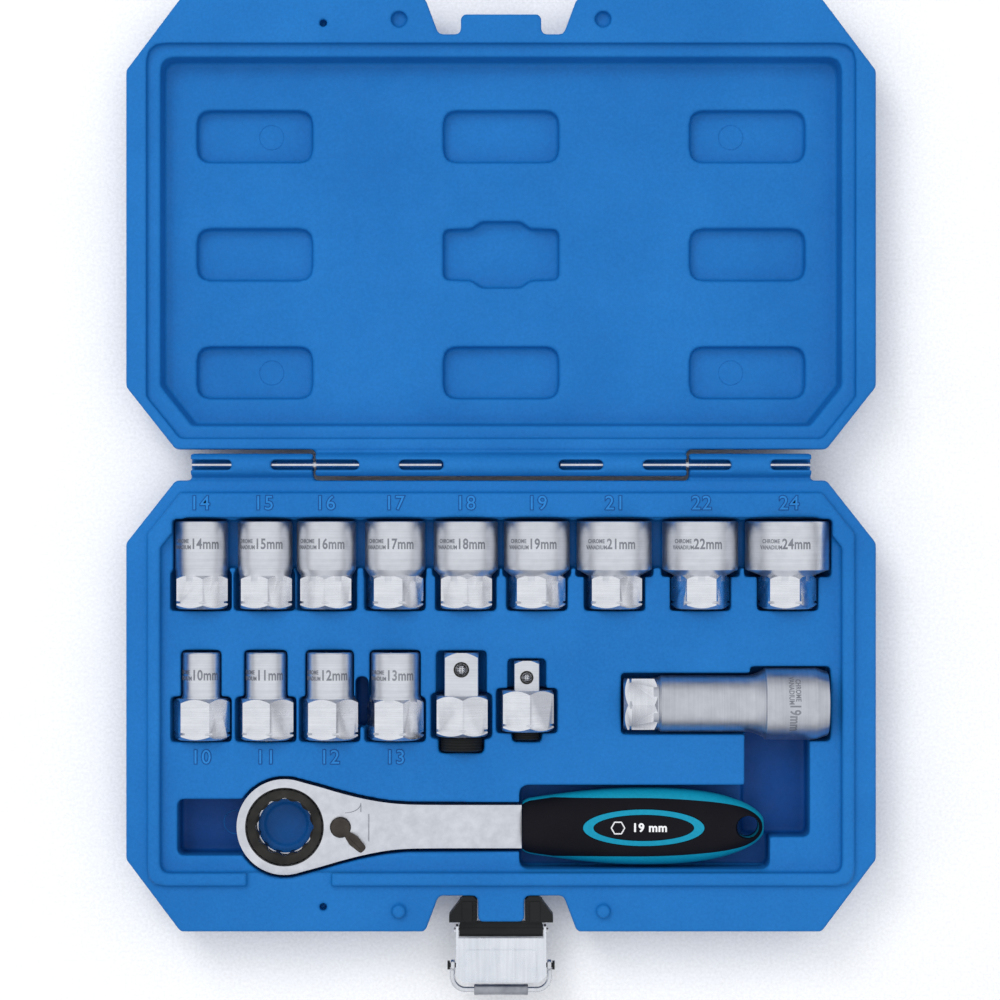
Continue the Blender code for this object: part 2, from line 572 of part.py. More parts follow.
for label, side in (("left", -1), ("right", 1)):
    ends = sorted((side * PIN_INNER, side * (BARREL_OUTER - 0.3 * MM)))
    pin = along_x(f"hinge_pin_{label}", ring_points(PIN_RADIUS, 10), *ends)
    finish(pin, BRIGHT, (0, HINGE_Y, HINGE_Z))


# ---- sockets
def socket(size, diameter, x, roll, back, hex_length):
    """A pass-through socket: the mouth at its origin, the drive hexagon below it along -Z."""
    radius, drive = diameter / 2, DRIVE_HEX / math.sqrt(3)
    barrel_length = SOCKET_LENGTH - hex_length
    shoulder = min(radius, DRIVE_HEX / 2) - 0.4 * MM
    profile = [(0, 0), (radius - 0.6 * MM, 0), (radius, -0.6 * MM), (radius, -barrel_length + 1.4 * MM),
               (shoulder, -barrel_length - 0.6 * MM), (shoulder, -barrel_length - 3 * MM),
               (0, -barrel_length - 3 * MM)]
    made = lathe(f"socket_{size}mm", profile, 16)
    hexes = prism(f"socket_{size}_drive", hexagon(DRIVE_HEX), -SOCKET_LENGTH, -barrel_length)
    bite, depth = size * MM, barrel_length - HEX_WEB
    mouth = prism(f"socket_{size}_mouth", hexagon(bite + HEX_FIT), -depth, MM)
    through = rod(f"socket_{size}_through", min(THROUGH_RADIUS, 0.42 * bite), -SOCKET_LENGTH - MM, -depth + MM, 12)
    combine(made, "UNION", hexes)
    combine(made, "DIFFERENCE", mouth, through)
    turn = (Matrix.Rotation(-math.pi / 2, 4, "X") @ Matrix.Rotation(math.radians(roll + 30), 4, "Z")).to_euler()
    return finish(made, SATIN, (x, HINGE_Y - back, TOOL_AXIS), turn)


for row, back, hex_length in ((ROW_ONE, ROW_ONE_BACK, ROW_ONE_HEX), (ROW_TWO, ROW_TWO_BACK, ROW_TWO_HEX)):
    for size, diameter, x, roll in row:
        socket(size, diameter, x, roll, back, hex_length)


# ---- square drive adapters
def adapter(label, square, x, back, neck, tail, tail_radius, ball_radius, ball_out, roll):
    """A square with a sprung ball on a drive hexagon, the square's end at its origin, along -Z."""
    half = square / 2
    name = f"{label}_adapter"
    corner = 1 * MM
    outline = [(half, half - corner), (half - corner, half), (corner - half, half), (-half, half - corner),
               (-half, corner - half), (corner - half, -half), (half - corner, -half), (half, corner - half)]
    made = prism(name, outline, -neck - 2 * MM, 0)
    spigot = min(tail_radius - 1.6 * MM, 5 * MM)
    combine(made, "UNION",
            prism(f"{name}_hex", hexagon(DRIVE_HEX, math.radians(30 + roll)), -neck - ADAPTER_HEX, -neck),
            rod(f"{name}_spigot", spigot, -neck - ADAPTER_HEX - tail, -neck - 2 * MM, 12))
    out = half + ball_out - ball_radius
    floor = -half * 0.45
    hole = rod(f"{name}_ball_hole", ball_radius + BALL_FIT, floor, half + 2 * MM, 12)
    hole.data.transform(Matrix.Translation((0, 0, -BALL_PLACE)) @ Matrix.Rotation(math.pi / 2, 4, "X"))
    combine(made, "DIFFERENCE", hole)
    turn = (-math.pi / 2, 0, 0)
    finish(made, SATIN, (x, HINGE_Y - back, TOOL_AXIS), turn)

    ring = lathe(f"{label}_retainer", [(tail_radius - 0.4 * MM, 0), (tail_radius, -0.4 * MM),
                 (tail_radius, -tail + 0.4 * MM + RETAINER_GAP), (tail_radius - 0.4 * MM, -tail + RETAINER_GAP),
                 (spigot + RETAINER_GAP, -tail + RETAINER_GAP), (spigot + RETAINER_GAP, 0)], 16, closed=True)
    finish(ring, BLACK, (0, 0, -neck - ADAPTER_HEX - RETAINER_GAP), None, made)

    ball_profile = [(ball_radius * math.sin(math.pi * n / 8), ball_radius * math.cos(math.pi * n / 8))
                    for n in range(9)]
    ball = lathe(f"{label}_ball", ball_profile, 12)
    finish(ball, BRIGHT, (0, -out, -BALL_PLACE), None, made)
    spring_top = out - ball_radius - ball_out - RUNNING_GAP - SPRING_WIRE
    spring = coil(f"{label}_spring", ball_radius - 0.35 * MM - SPRING_WIRE, SPRING_WIRE,
                  floor + RUNNING_GAP + SPRING_WIRE, spring_top)
    finish(spring, BRIGHT, (0, 0, -BALL_PLACE), (math.pi / 2, 0, 0), made)
    return made


adapter("half_inch", SQUARE_HALF, HALF_X, HALF_BACK, HALF_NECK, HALF_RETAINER, HALF_RETAINER_RADIUS,
        HALF_BALL_RADIUS, HALF_BALL_OUT, 3)
adapter("three_eighths", SQUARE_THREE_EIGHTHS, SMALL_X, SMALL_BACK, SMALL_NECK, SMALL_RETAINER,
        SMALL_RETAINER_RADIUS, SMALL_BALL_RADIUS, SMALL_BALL_OUT, 6)

# ---- extension
profile = [(0, 0), (EXT_SOCKET_RADIUS - 1.6 * MM, 0), (EXT_SOCKET_RADIUS, -4.6 * MM)]
profile += [(EXT_TUBE_RADIUS + (EXT_SOCKET_RADIUS - EXT_TUBE_RADIUS) * (1 - t) ** 2, -EXT_SOCKET - EXT_FLARE * t)
            for t in (0, 0.25, 0.5, 1)]
profile += [(EXT_TUBE_RADIUS, -EXT_LENGTH + EXT_HEX), (9 * MM, -EXT_LENGTH + EXT_HEX - 1.5 * MM),
            (0, -EXT_LENGTH + EXT_HEX - 1.5 * MM)]
extension = lathe("extension_socket", profile, 20)
combine(extension, "UNION", prism("extension_drive", hexagon(DRIVE_HEX), -EXT_LENGTH, -EXT_LENGTH + EXT_HEX))
combine(extension, "DIFFERENCE", prism("extension_mouth", hexagon(DRIVE_HEX + 2 * HEX_FIT), -20 * MM, MM),
        rod("extension_through", THROUGH_RADIUS, -EXT_LENGTH - MM, -19 * MM, 12))
finish(extension, SATIN, (EXT_RIGHT, HINGE_Y - EXT_REACH, TOOL_AXIS), (0, math.pi / 2, 0))

# ---- wrench, in the frame of its ring
wrench = bpy.data.objects.new("wrench", None)
parts.objects.link(wrench)
wrench.location = (WRENCH_X, HINGE_Y - WRENCH_REACH, WRENCH_LEVEL)

top = wrench_outline() + [(SHANK_END, SHANK_HALF_WIDTH), (SHANK_END, TANG_HALF_WIDTH), (TANG_END, TANG_HALF_WIDTH)]
frame_plan = top + [(x, -y) for x, y in reversed(top[1:])]
body = prism("wrench_body", frame_plan, -HEAD_HALF, HEAD_HALF)
side_view = [(-HEAD_RADIUS - MM, HEAD_HALF + MM), (-HEAD_RADIUS - MM, -HEAD_HALF - MM), (24 * MM, -HEAD_HALF - MM),
             (24 * MM, -HEAD_HALF + 0.01 * MM), (44 * MM, -SHANK_HALF), (SHANK_END, -SHANK_HALF),
             (SHANK_END + 0.1 * MM, -TANG_HALF), (TANG_END + MM, -TANG_HALF)]
side_view += [(x, -z) for x, z in reversed(side_view[2:])]
side = along_y("wrench_side", side_view, -30 * MM, 30 * MM)
combine(body, "INTERSECT", side)
head_bore = GEAR_TIP + RING_GAP
combine(body, "DIFFERENCE", rod("head_bore", head_bore, -HEAD_HALF - MM, TEETH_HALF + 0.3 * MM, 24),
        rod("head_lip", GEAR_HUB + RING_GAP, 0, HEAD_HALF + MM, 24),
        rod("circlip_seat", head_bore + 1.1 * MM, -HEAD_HALF - MM, -TEETH_HALF, 24))
pawl_reach, pawl_wide = 25.2 * MM, 7 * MM
combine(body, "DIFFERENCE", box("pawl_pocket", (12 * MM, -pawl_wide, -PAWL_HALF - 0.4 * MM),
                                (pawl_reach, pawl_wide, PAWL_HALF + 0.4 * MM)),
        rod("pivot_hole", PIVOT_RADIUS + RUNNING_GAP, -PAWL_HALF - 1.4 * MM, HEAD_HALF + MM, 12, (PIVOT_X, 0)),
        along_x("plunger_hole", ring_points(PLUNGER_RADIUS + RUNNING_GAP, 8), pawl_reach - MM, pawl_reach + 7 * MM))
finish(body, SATIN, parent=wrench)

teeth = []
for n in range(GEAR_TEETH):
    a = 2 * math.pi * n / GEAR_TEETH
    b = a + math.pi / GEAR_TEETH
    teeth += [(GEAR_ROOT * math.cos(a), GEAR_ROOT * math.sin(a)), (GEAR_TIP * math.cos(b), GEAR_TIP * math.sin(b))]
gear = prism("ratchet_ring", teeth, -TEETH_HALF, TEETH_HALF)
combine(gear, "UNION", rod("ring_hub", GEAR_HUB, -GEAR_HALF, GEAR_HALF, 24))
corner, valley = (DRIVE_HEX + 0.1 * MM) / math.sqrt(3), (DRIVE_HEX + 0.1 * MM) / 2 / math.cos(math.radians(15))
star = []
for n in range(12):
    a = math.radians(30 * n)
    b = a + math.radians(15)
    star += [(corner * math.cos(a), corner * math.sin(a)), (valley * math.cos(b), valley * math.sin(b))]
snap_groove = lathe("snap_groove", [(SNAP_RADIUS - 2 * MM, 0.8 * MM), (SNAP_RADIUS + SNAP_WIRE + RUNNING_GAP, 0.8 * MM),
                    (SNAP_RADIUS + SNAP_WIRE + RUNNING_GAP, -0.8 * MM), (SNAP_RADIUS - 2 * MM, -0.8 * MM)], 24, True)
combine(gear, "DIFFERENCE", prism("ring_star", star, -GEAR_HALF - MM, GEAR_HALF + MM), snap_groove)
finish(gear, DARK, parent=wrench)

arc = [math.radians(20 + 320 * n / 24) for n in range(25)]
clip_in, clip_out = GEAR_HUB + 0.3 * MM, GEAR_HUB + 0.3 * MM + CIRCLIP_WIDTH
clip_plan = [(clip_out * math.cos(a), clip_out * math.sin(a)) for a in arc]
clip_plan += [(clip_in * math.cos(a), clip_in * math.sin(a)) for a in reversed(arc)]
finish(prism("ring_circlip", clip_plan, -TEETH_HALF - 0.3 * MM - CIRCLIP_THICKNESS, -TEETH_HALF - 0.3 * MM), DARK,
       parent=wrench)
arc = [math.radians(10 + 340 * n / 24) for n in range(25)]
finish(wire("ring_snap_wire", [(SNAP_RADIUS * math.cos(a), SNAP_RADIUS * math.sin(a), 0) for a in arc], SNAP_WIRE),
       BRIGHT, parent=wrench)

lever = rod("reversing_lever", LEVER_DISC, HEAD_HALF + 0.3 * MM, HEAD_HALF + 0.3 * MM + LEVER_THICKNESS, 16)
aim = math.radians(LEVER_REST)
tip, waist = LEVER_ARM, LEVER_DISC * 0.8
arm = [(0, -waist), (tip - 2 * MM, -1.5 * MM), (tip, -0.8 * MM), (tip, 0.8 * MM), (tip - 2 * MM, 1.5 * MM), (0, waist)]
turned = [(x * math.cos(aim) - y * math.sin(aim), x * math.sin(aim) + y * math.cos(aim)) for x, y in arm]
combine(lever, "UNION", prism("lever_arm", turned, HEAD_HALF + 0.3 * MM, HEAD_HALF + 0.1 * MM + LEVER_THICKNESS),
        rod("lever_shaft", PIVOT_RADIUS, -PAWL_HALF - 1.1 * MM, HEAD_HALF + 0.8 * MM, 12))
finish(lever, DARK, (PIVOT_X, 0, 0), parent=wrench)

pawl_plan = [(-5.9 * MM, -4.8 * MM), (-3.5 * MM, -5.5 * MM), (2.6 * MM, -3.2 * MM), (2.6 * MM, 3.2 * MM),
             (-3.5 * MM, 5.5 * MM), (-5.9 * MM, 4.8 * MM), (-5.7 * MM, 0)]
pawl = prism("pawl", pawl_plan, -PAWL_HALF, PAWL_HALF)
pawl.data.transform(Matrix.Rotation(math.radians(-PAWL_TILT), 4, "Z"))
combine(pawl, "DIFFERENCE", rod("pawl_eye", PIVOT_RADIUS + RUNNING_GAP, -PAWL_HALF - MM, PAWL_HALF + MM, 12))
finish(pawl, DARK, (PIVOT_X, 0, 0), parent=wrench)
profile = [(PLUNGER_RADIUS * math.sin(math.pi * n / 6), PLUNGER_RADIUS * math.cos(math.pi * n / 6)) for n in range(7)]
finish(lathe("pawl_plunger", profile, 8), BRIGHT, (25.5 * MM, 0, 0), parent=wrench)
finish(coil("pawl_spring", 0.7 * MM, 0.2 * MM, 1.35 * MM, 5.9 * MM), BRIGHT, (25.5 * MM, 0, 0), (0, math.pi / 2, 0),
       wrench)


# ---- grip
def grip_size(along):
    """Half width and half thickness of the grip at a distance from its front end."""
    if along < GRIP_WIDEST:
        swell = math.sin(math.pi / 2 * along / GRIP_WIDEST)
        return (GRIP_START_WIDTH + (GRIP_HALF_WIDTH - GRIP_START_WIDTH) * swell,
                GRIP_START_HALF + (GRIP_HALF - GRIP_START_HALF) * swell)
    back = (along - GRIP_WIDEST) / (GRIP_LENGTH - GRIP_WIDEST)
    return GRIP_HALF_WIDTH * math.sqrt(max(0.0, 1 - back ** 2.4)), GRIP_HALF * (1 - 0.22 * back ** 3)


def grip_form(name, swell=0.0):
    """The grip's outer form, lofted through oval sections."""
    stations = [GRIP_LENGTH * t for t in (0, 0.14, 0.3, 0.49, 0.64, 0.77, 0.87, 0.94, 0.985)]
    rings = []
    for along in stations:
        wide, thick = grip_size(along)
        rings.append([(GRIP_START + along, (wide + swell) * math.cos(2 * math.pi * n / 20),
                       (thick + swell) * math.sin(2 * math.pi * n / 20)) for n in range(20)])
    points = [p for ring in rings for p in ring]
    faces = [list(range(20)), [len(points) - 1 - n for n in range(20)]]
    for k in range(len(rings) - 1):
        for n in range(20):
            m = (n + 1) % 20
            faces.append([20 * k + m, 20 * k + n, 20 * k + 20 + n, 20 * k + 20 + m])
    mesh = bpy.data.meshes.new(name)
    mesh.from_pydata(points, [], faces)
    return hold(name, mesh)


def oval(length, width, sides=24):
    return ring_points(length, sides, math.pi / sides, (INLAY_X, 0), width / length)


wide = GRIP_HALF_WIDTH + 5 * MM
grip_end = GRIP_START + GRIP_LENGTH + 5 * MM
core = grip_form("grip_core")
combine(core, "INTERSECT", box("core_slab", (GRIP_START - MM, -wide, -CORE_HALF), (grip_end, wide, CORE_HALF)))
combine(core, "DIFFERENCE",
        box("tang_hole", (GRIP_START - MM, -TANG_HALF_WIDTH - 0.3 * MM, -TANG_HALF - 0.3 * MM),
            (TANG_END + 0.5 * MM, TANG_HALF_WIDTH + 0.3 * MM, TANG_HALF + 0.3 * MM)),
        rod("core_hang_hole", HANG_RADIUS, -20 * MM, 20 * MM, 16, (HANG_X, 0)))
finish(core, TEAL, parent=wrench)
for label, low, high in (("top", CORE_HALF + PANEL_GAP, 20 * MM), ("bottom", -20 * MM, -CORE_HALF - PANEL_GAP)):
    panel = grip_form(f"grip_panel_{label}")
    combine(panel, "INTERSECT", box(f"panel_{label}_slab", (GRIP_START - MM, -wide, low), (grip_end, wide, high)))
    combine(panel, "DIFFERENCE", rod(f"panel_{label}_hang_hole", HANG_RADIUS, -20 * MM, 20 * MM, 16, (HANG_X, 0)))
    if label == "top":
        groove = prism("inlay_groove", oval(INLAY_LENGTH + 0.3 * MM, INLAY_WIDTH + 0.3 * MM), INLAY_BOTTOM - 0.3 * MM,
                       20 * MM)
        island = prism("inlay_island", oval(INLAY_LENGTH - INLAY_BAND - 0.3 * MM, INLAY_WIDTH - INLAY_BAND - 0.3 * MM),
                       INLAY_BOTTOM - 2 * MM, 30 * MM)
        combine(groove, "DIFFERENCE", island)
        combine(panel, "DIFFERENCE", groove)
    finish(panel, GRIP_BLACK, parent=wrench)
inlay = grip_form("grip_inlay", 0.1 * MM)
outer = prism("inlay_outer", oval(INLAY_LENGTH, INLAY_WIDTH), INLAY_BOTTOM, 20 * MM)
hole = prism("inlay_hole", oval(INLAY_LENGTH - INLAY_BAND, INLAY_WIDTH - INLAY_BAND), INLAY_BOTTOM - MM, 30 * MM)
combine(inlay, "INTERSECT", outer)
combine(inlay, "DIFFERENCE", hole)
finish(inlay, TEAL, parent=wrench)

# ---- latch: bracket on the base, lever on the bracket, bail on the lever
LATCH_Y = HINGE_Y - LATCH_REACH
arm_right = [(BRACKET_INNER, NOTCH_REACH + 1.8 * MM), (BRACKET_INNER + 1.4 * MM, NOTCH_REACH + RUNNING_GAP),
             (BRACKET_SHOULDER, NOTCH_REACH + RUNNING_GAP),
             (BRACKET_WING, NOTCH_REACH + 7.4 * MM), (BRACKET_WING, BRACKET_FRONT), (BRACKET_INNER, BRACKET_FRONT)]


def beside(points, sign=1):
    """Reach measured forward from the hinge, seen from the latch's own pivot."""
    return [(sign * x, LATCH_REACH - y) for x, y in points]


bracket = along_x("latch_bracket", ring_points(LATCH_BARREL, 12), -BARREL_HALF, BARREL_HALF)
yoke = BARREL_HALF - 0.3 * MM
lower = [(yoke, LATCH_REACH - 0.3 * MM), (-yoke, LATCH_REACH - 0.3 * MM), (-yoke, NOTCH_REACH + 1.5 * MM),
         (-BRACKET_INNER, NOTCH_REACH + 1.5 * MM), (-BRACKET_INNER, BRACKET_FRONT + 0.2 * MM),
         (BRACKET_INNER, BRACKET_FRONT + 0.2 * MM), (BRACKET_INNER, NOTCH_REACH + 1.5 * MM),
         (yoke, NOTCH_REACH + 1.5 * MM)]
combine(bracket, "UNION", prism("bracket_yoke", beside(lower), 0.4 * MM - LATCH_BARREL, LATCH_BARREL - 0.4 * MM),
        *[prism(f"bracket_arm_{n}", beside(arm_right, sign), BRACKET_LOW - LATCH_LEVEL, BRACKET_HIGH - LATCH_LEVEL)
          for n, sign in enumerate((1, -1))])
combine(bracket, "DIFFERENCE", along_x("bracket_bore", ring_points(PIVOT_PIN + RUNNING_GAP, 8), -20 * MM, 20 * MM))
finish(bracket, BLACK, (0, LATCH_Y, LATCH_LEVEL))
finish(along_x("latch_pin", ring_points(PIVOT_PIN, 8), -LEVER_HALF - 0.8 * MM, LEVER_HALF + 0.8 * MM), BRIGHT,
       (0, LATCH_Y, LATCH_LEVEL))

plate = prism("latch_lever", mirrored([(LEVER_HALF - LEVER_CORNER, -LEVER_END), (LEVER_HALF, LEVER_CORNER - LEVER_END),
              (LEVER_HALF, -LEVER_START)]), LEVER_TOP - LEVER_SHEET, LEVER_TOP)
cheek_end = LEVER_CORNER + 0.3 * MM - LEVER_END
for n, sign in enumerate((-1, 1)):
    sides = sorted((sign * LEVER_HALF, sign * (LEVER_HALF - LEVER_SHEET)))
    cheek = [(cheek_end, LEVER_TOP - 0.3 * MM), (cheek_end, -LEVER_BOTTOM / 2), (cheek_end + 3 * MM, -LEVER_BOTTOM),
             (-LEVER_START, -LEVER_BOTTOM), (0, -2.3 * MM), (1.6 * MM, -1.6 * MM), (2.3 * MM, 0), (1.6 * MM, 1.6 * MM),
             (0, LEVER_TOP - 0.3 * MM)]
    combine(plate, "UNION", along_x(f"lever_cheek_{n}", cheek, *sides))
combine(plate, "DIFFERENCE", along_x("lever_pin_hole", ring_points(PIVOT_PIN + RUNNING_GAP, 8), -20 * MM, 20 * MM),
        along_x("lever_rivet_hole", ring_points(PIVOT_PIN + RUNNING_GAP, 8, 0, (-RIVET_REACH, -RIVET_DROP)),
                -20 * MM, 20 * MM))
finish(plate, BRIGHT, (0, LATCH_Y, LATCH_LEVEL))

rivet_place = (0, LATCH_Y - RIVET_REACH, LATCH_LEVEL - RIVET_DROP)
path = []
for sign in (-1, 1):
    leg = [(sign * BAIL_HALF, -1.6 * MM, 0), (sign * BAIL_HALF, BAIL_CORNER - BAIL_LENGTH, 0)]
    for n in (1, 2, 3):
        a = math.pi / 2 * n / 3
        leg.append((sign * (BAIL_HALF - BAIL_CORNER * (1 - math.cos(a))),
                    BAIL_CORNER - BAIL_LENGTH - BAIL_CORNER * math.sin(a), 0))
    path += leg if sign < 0 else leg[::-1]
bail = wire("latch_bail", path, BAIL_WIRE, sides=2)
eye_inner = LEVER_HALF + 0.4 * MM
for n, sign in enumerate((-1, 1)):
    ends = sorted((sign * eye_inner, sign * (eye_inner + EYE_THICKNESS)))
    combine(bail, "UNION", along_x(f"bail_eye_{n}", ring_points(EYE_RADIUS, 12, math.pi / 12), *ends))
combine(bail, "DIFFERENCE", along_x("bail_hole", ring_points(PIVOT_PIN + RUNNING_GAP, 8), -25 * MM, 25 * MM))
finish(bail, BRIGHT, rivet_place)
sleeve = lathe("latch_sleeve", [(SLEEVE_RADIUS, SLEEVE_LENGTH / 2), (SLEEVE_RADIUS, -SLEEVE_LENGTH / 2),
               (BAIL_WIRE + RUNNING_GAP, -SLEEVE_LENGTH / 2), (BAIL_WIRE + RUNNING_GAP, SLEEVE_LENGTH / 2)], 16, True)
finish(sleeve, BRIGHT, (0, -BAIL_LENGTH, 0), (0, math.pi / 2, 0), bail)
for label, sign in (("left", -1), ("right", 1)):
    start = LEVER_HALF - LEVER_SHEET - 0.5 * MM
    head = eye_inner + EYE_THICKNESS + RUNNING_GAP
    shaft = along_x(f"latch_rivet_{label}", ring_points(PIVOT_PIN, 8), *sorted((sign * start, sign * (head + 0.5 * MM))))
    combine(shaft, "UNION", along_x(f"rivet_head_{label}", ring_points(1.7 * MM, 10), *sorted((sign * head,
            sign * (head + 0.9 * MM)))))
    finish(shaft, BLACK, rivet_place)
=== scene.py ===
"""Looks of the socket wrench set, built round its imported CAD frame. Metres, +Z up, rest pose."""

import math

import bmesh
import bpy
from mathutils import Matrix, Vector


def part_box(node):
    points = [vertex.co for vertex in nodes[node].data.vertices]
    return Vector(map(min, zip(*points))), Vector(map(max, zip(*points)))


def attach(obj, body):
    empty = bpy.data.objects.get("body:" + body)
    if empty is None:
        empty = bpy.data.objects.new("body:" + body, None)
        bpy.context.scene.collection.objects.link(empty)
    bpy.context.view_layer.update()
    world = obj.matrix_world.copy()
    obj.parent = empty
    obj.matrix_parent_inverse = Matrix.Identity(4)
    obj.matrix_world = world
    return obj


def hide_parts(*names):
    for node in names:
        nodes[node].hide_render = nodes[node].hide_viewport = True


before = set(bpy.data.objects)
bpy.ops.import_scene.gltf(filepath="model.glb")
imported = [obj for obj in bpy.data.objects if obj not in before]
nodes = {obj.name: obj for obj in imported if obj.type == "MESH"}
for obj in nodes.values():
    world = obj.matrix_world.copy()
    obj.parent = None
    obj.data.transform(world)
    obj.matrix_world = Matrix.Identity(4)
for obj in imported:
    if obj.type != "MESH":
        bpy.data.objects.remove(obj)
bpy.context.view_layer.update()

MM = 0.001
scene = bpy.context.scene
Z_UP = Matrix.Rotation(-math.pi / 2, 4, "X")     # a tool's own +Z to the row's +Y

# ---- camera
RIM = 24.3 * MM
FIELD = 373.1 * MM               # width that the lens takes in at the rim's height
AWAY = 1.2
eye = bpy.data.cameras.new("camera")
eye.lens = eye.sensor_width * AWAY / FIELD
eye.clip_end = 20
camera = bpy.data.objects.new("camera", eye)
camera.location = (-0.0004, 0.0769, RIM + AWAY)
scene.collection.objects.link(camera)
scene.camera = camera
scene.view_settings.view_transform = "Standard"


# ---- materials
class Look:
    """A Principled material whose colour, roughness and bump come from procedural textures."""

    def __init__(self, name, colour, roughness, metallic=0.0, **sockets):
        self.material = bpy.data.materials.new(name)
        self.material.use_nodes = True
        self.tree = self.material.node_tree
        self.shader = self.tree.nodes["Principled BSDF"]
        self.shader.inputs["Base Color"].default_value = (*colour, 1)
        self.shader.inputs["Roughness"].default_value = roughness
        self.shader.inputs["Metallic"].default_value = metallic
        for socket, value in sockets.items():
            self.shader.inputs[socket.replace("_", " ")].default_value = value
        self.place = self.tree.nodes.new("ShaderNodeTexCoord").outputs["Object"]
        self.normal = None

    def noise(self, scale, detail=3.0, rough=0.55, stretch=None):
        place = self.place
        if stretch:
            mapping = self.tree.nodes.new("ShaderNodeMapping")
            mapping.inputs["Scale"].default_value = stretch
            self.tree.links.new(place, mapping.inputs["Vector"])
            place = mapping.outputs["Vector"]
        node = self.tree.nodes.new("ShaderNodeTexNoise")
        node.inputs["Scale"].default_value = scale
        node.inputs["Detail"].default_value = detail
        node.inputs["Roughness"].default_value = rough
        self.tree.links.new(place, node.inputs["Vector"])
        return node.outputs["Fac"]

    def ramp(self, value, low, high, start=0.3, end=0.7):
        node = self.tree.nodes.new("ShaderNodeValToRGB")
        node.color_ramp.elements[0].position, node.color_ramp.elements[1].position = start, end
        node.color_ramp.elements[0].color, node.color_ramp.elements[1].color = (*low, 1), (*high, 1)
        self.tree.links.new(value, node.inputs["Fac"])
        return node.outputs["Color"]

    def mix(self, factor, a, b, mode="MIX", amount=None):
        node = self.tree.nodes.new("ShaderNodeMix")
        node.data_type, node.blend_type = "RGBA", mode
        if amount is None:
            self.tree.links.new(factor, node.inputs[0])
        else:
            node.inputs[0].default_value = amount
        for link, socket in ((a, node.inputs[6]), (b, node.inputs[7])):
            self.tree.links.new(link, socket)
        return node.outputs[2]

    def within(self, place, *spans):
        """1 where each coordinate of a split place is in its span, a middle and a reach, and 0 elsewhere."""
        inside = None
        for axis, (middle, reach) in zip("XYZ", spans):
            test = self.tree.nodes.new("ShaderNodeMath")
            test.operation = "COMPARE"
            test.inputs[1].default_value, test.inputs[2].default_value = middle, reach
            self.tree.links.new(place.outputs[axis], test.inputs[0])
            if inside is None:
                inside = test.outputs[0]
                continue
            both = self.tree.nodes.new("ShaderNodeMath")
            both.operation = "MULTIPLY"
            self.tree.links.new(inside, both.inputs[0])
            self.tree.links.new(test.outputs[0], both.inputs[1])
            inside = both.outputs[0]
        return inside

    def colour(self, output):
        self.tree.links.new(output, self.shader.inputs["Base Color"])
        return self

    def rough(self, value, low, high):
        node = self.tree.nodes.new("ShaderNodeMapRange")
        node.inputs["From Min"].default_value, node.inputs["From Max"].default_value = 0.3, 0.7
        node.inputs["To Min"].default_value, node.inputs["To Max"].default_value = low, high
        self.tree.links.new(value, node.inputs["Value"])
        self.tree.links.new(node.outputs["Result"], self.shader.inputs["Roughness"])
        return self

    def bump(self, value, strength, distance):
        node = self.tree.nodes.new("ShaderNodeBump")
        node.inputs["Strength"].default_value = strength
        node.inputs["Distance"].default_value = distance
        self.tree.links.new(value, node.inputs["Height"])
        if self.normal is not None:
            self.tree.links.new(self.normal, node.inputs["Normal"])
        self.normal = node.outputs["Normal"]
        self.tree.links.new(self.normal, self.shader.inputs["Normal"])
        return self


# where the pockets are, as a middle and a reach along X, Y and Z; inside these spans the tray's colour gets
# painted shade
WELLS = (0, 126.2 * MM), (9.25 * MM, 69.75 * MM), (12.2 * MM, 10 * MM)


def moulded_plastic(name, dark, light, roughness, grain=0.12, wave=0.35, sheen=0.16, deep=None):
    """deep is the height above which a pocket's wall has its full colour; below it the colour is darkened
    towards the floor, painted shade.
    """
    look = Look(name, light, roughness, Specular_IOR_Level=sheen)
    patches = look.ramp(look.noise(22, 4), dark, light, 0.25, 0.75)
    specks = look.ramp(look.noise(900, 2), (0.9, 0.9, 0.9), (1.05, 1.05, 1.05), 0.3, 0.7)
    colour = look.mix(None, patches, specks, "MULTIPLY", 0.8)
    # painted shade: inside the pockets the colour is darkened more the lower the wall lies
    if deep:
        split = look.tree.nodes.new("ShaderNodeSeparateXYZ")
        look.tree.links.new(look.place, split.inputs["Vector"])
        height = look.tree.nodes.new("ShaderNodeMapRange")
        height.inputs["From Min"].default_value, height.inputs["From Max"].default_value = 0.003, deep
        look.tree.links.new(split.outputs["Z"], height.inputs["Value"])
        depth = look.ramp(height.outputs["Result"], (0.3, 0.33, 0.5), (1, 1, 1), 0.05, 0.97)
        pocket_shade = look.mix(None, colour, depth, "MULTIPLY", 1.0)
        colour = look.mix(look.within(split, *WELLS), colour, pocket_shade)
    look.colour(colour)
    look.rough(look.noise(160, 4), roughness - 0.07, roughness + 0.09)
    look.bump(look.noise(45, 2), wave, 0.00025)
    return look.bump(look.noise(2200, 3), grain, 0.00012)


def turned_metal(name, low, high, roughness, lines=(30, 30, 1600), strength=0.1, spots=0.1):
    look = Look(name, high, roughness, 1.0)
    brushed = look.noise(1, 4, 0.6, lines)
    cloudy = look.ramp(look.noise(130, 4), low, high, 0.3, 0.72)
    streaks = look.ramp(brushed, (0.93, 0.93, 0.93), (1.03, 1.03, 1.03), 0.35, 0.65)
    look.colour(look.mix(None, cloudy, streaks, "MULTIPLY", 1.0))
    look.rough(look.noise(420, 4), roughness - 0.05, roughness + 0.08)
    look.bump(brushed, strength, 0.00006)
    return look.bump(look.noise(2600, 2), spots, 0.00005)


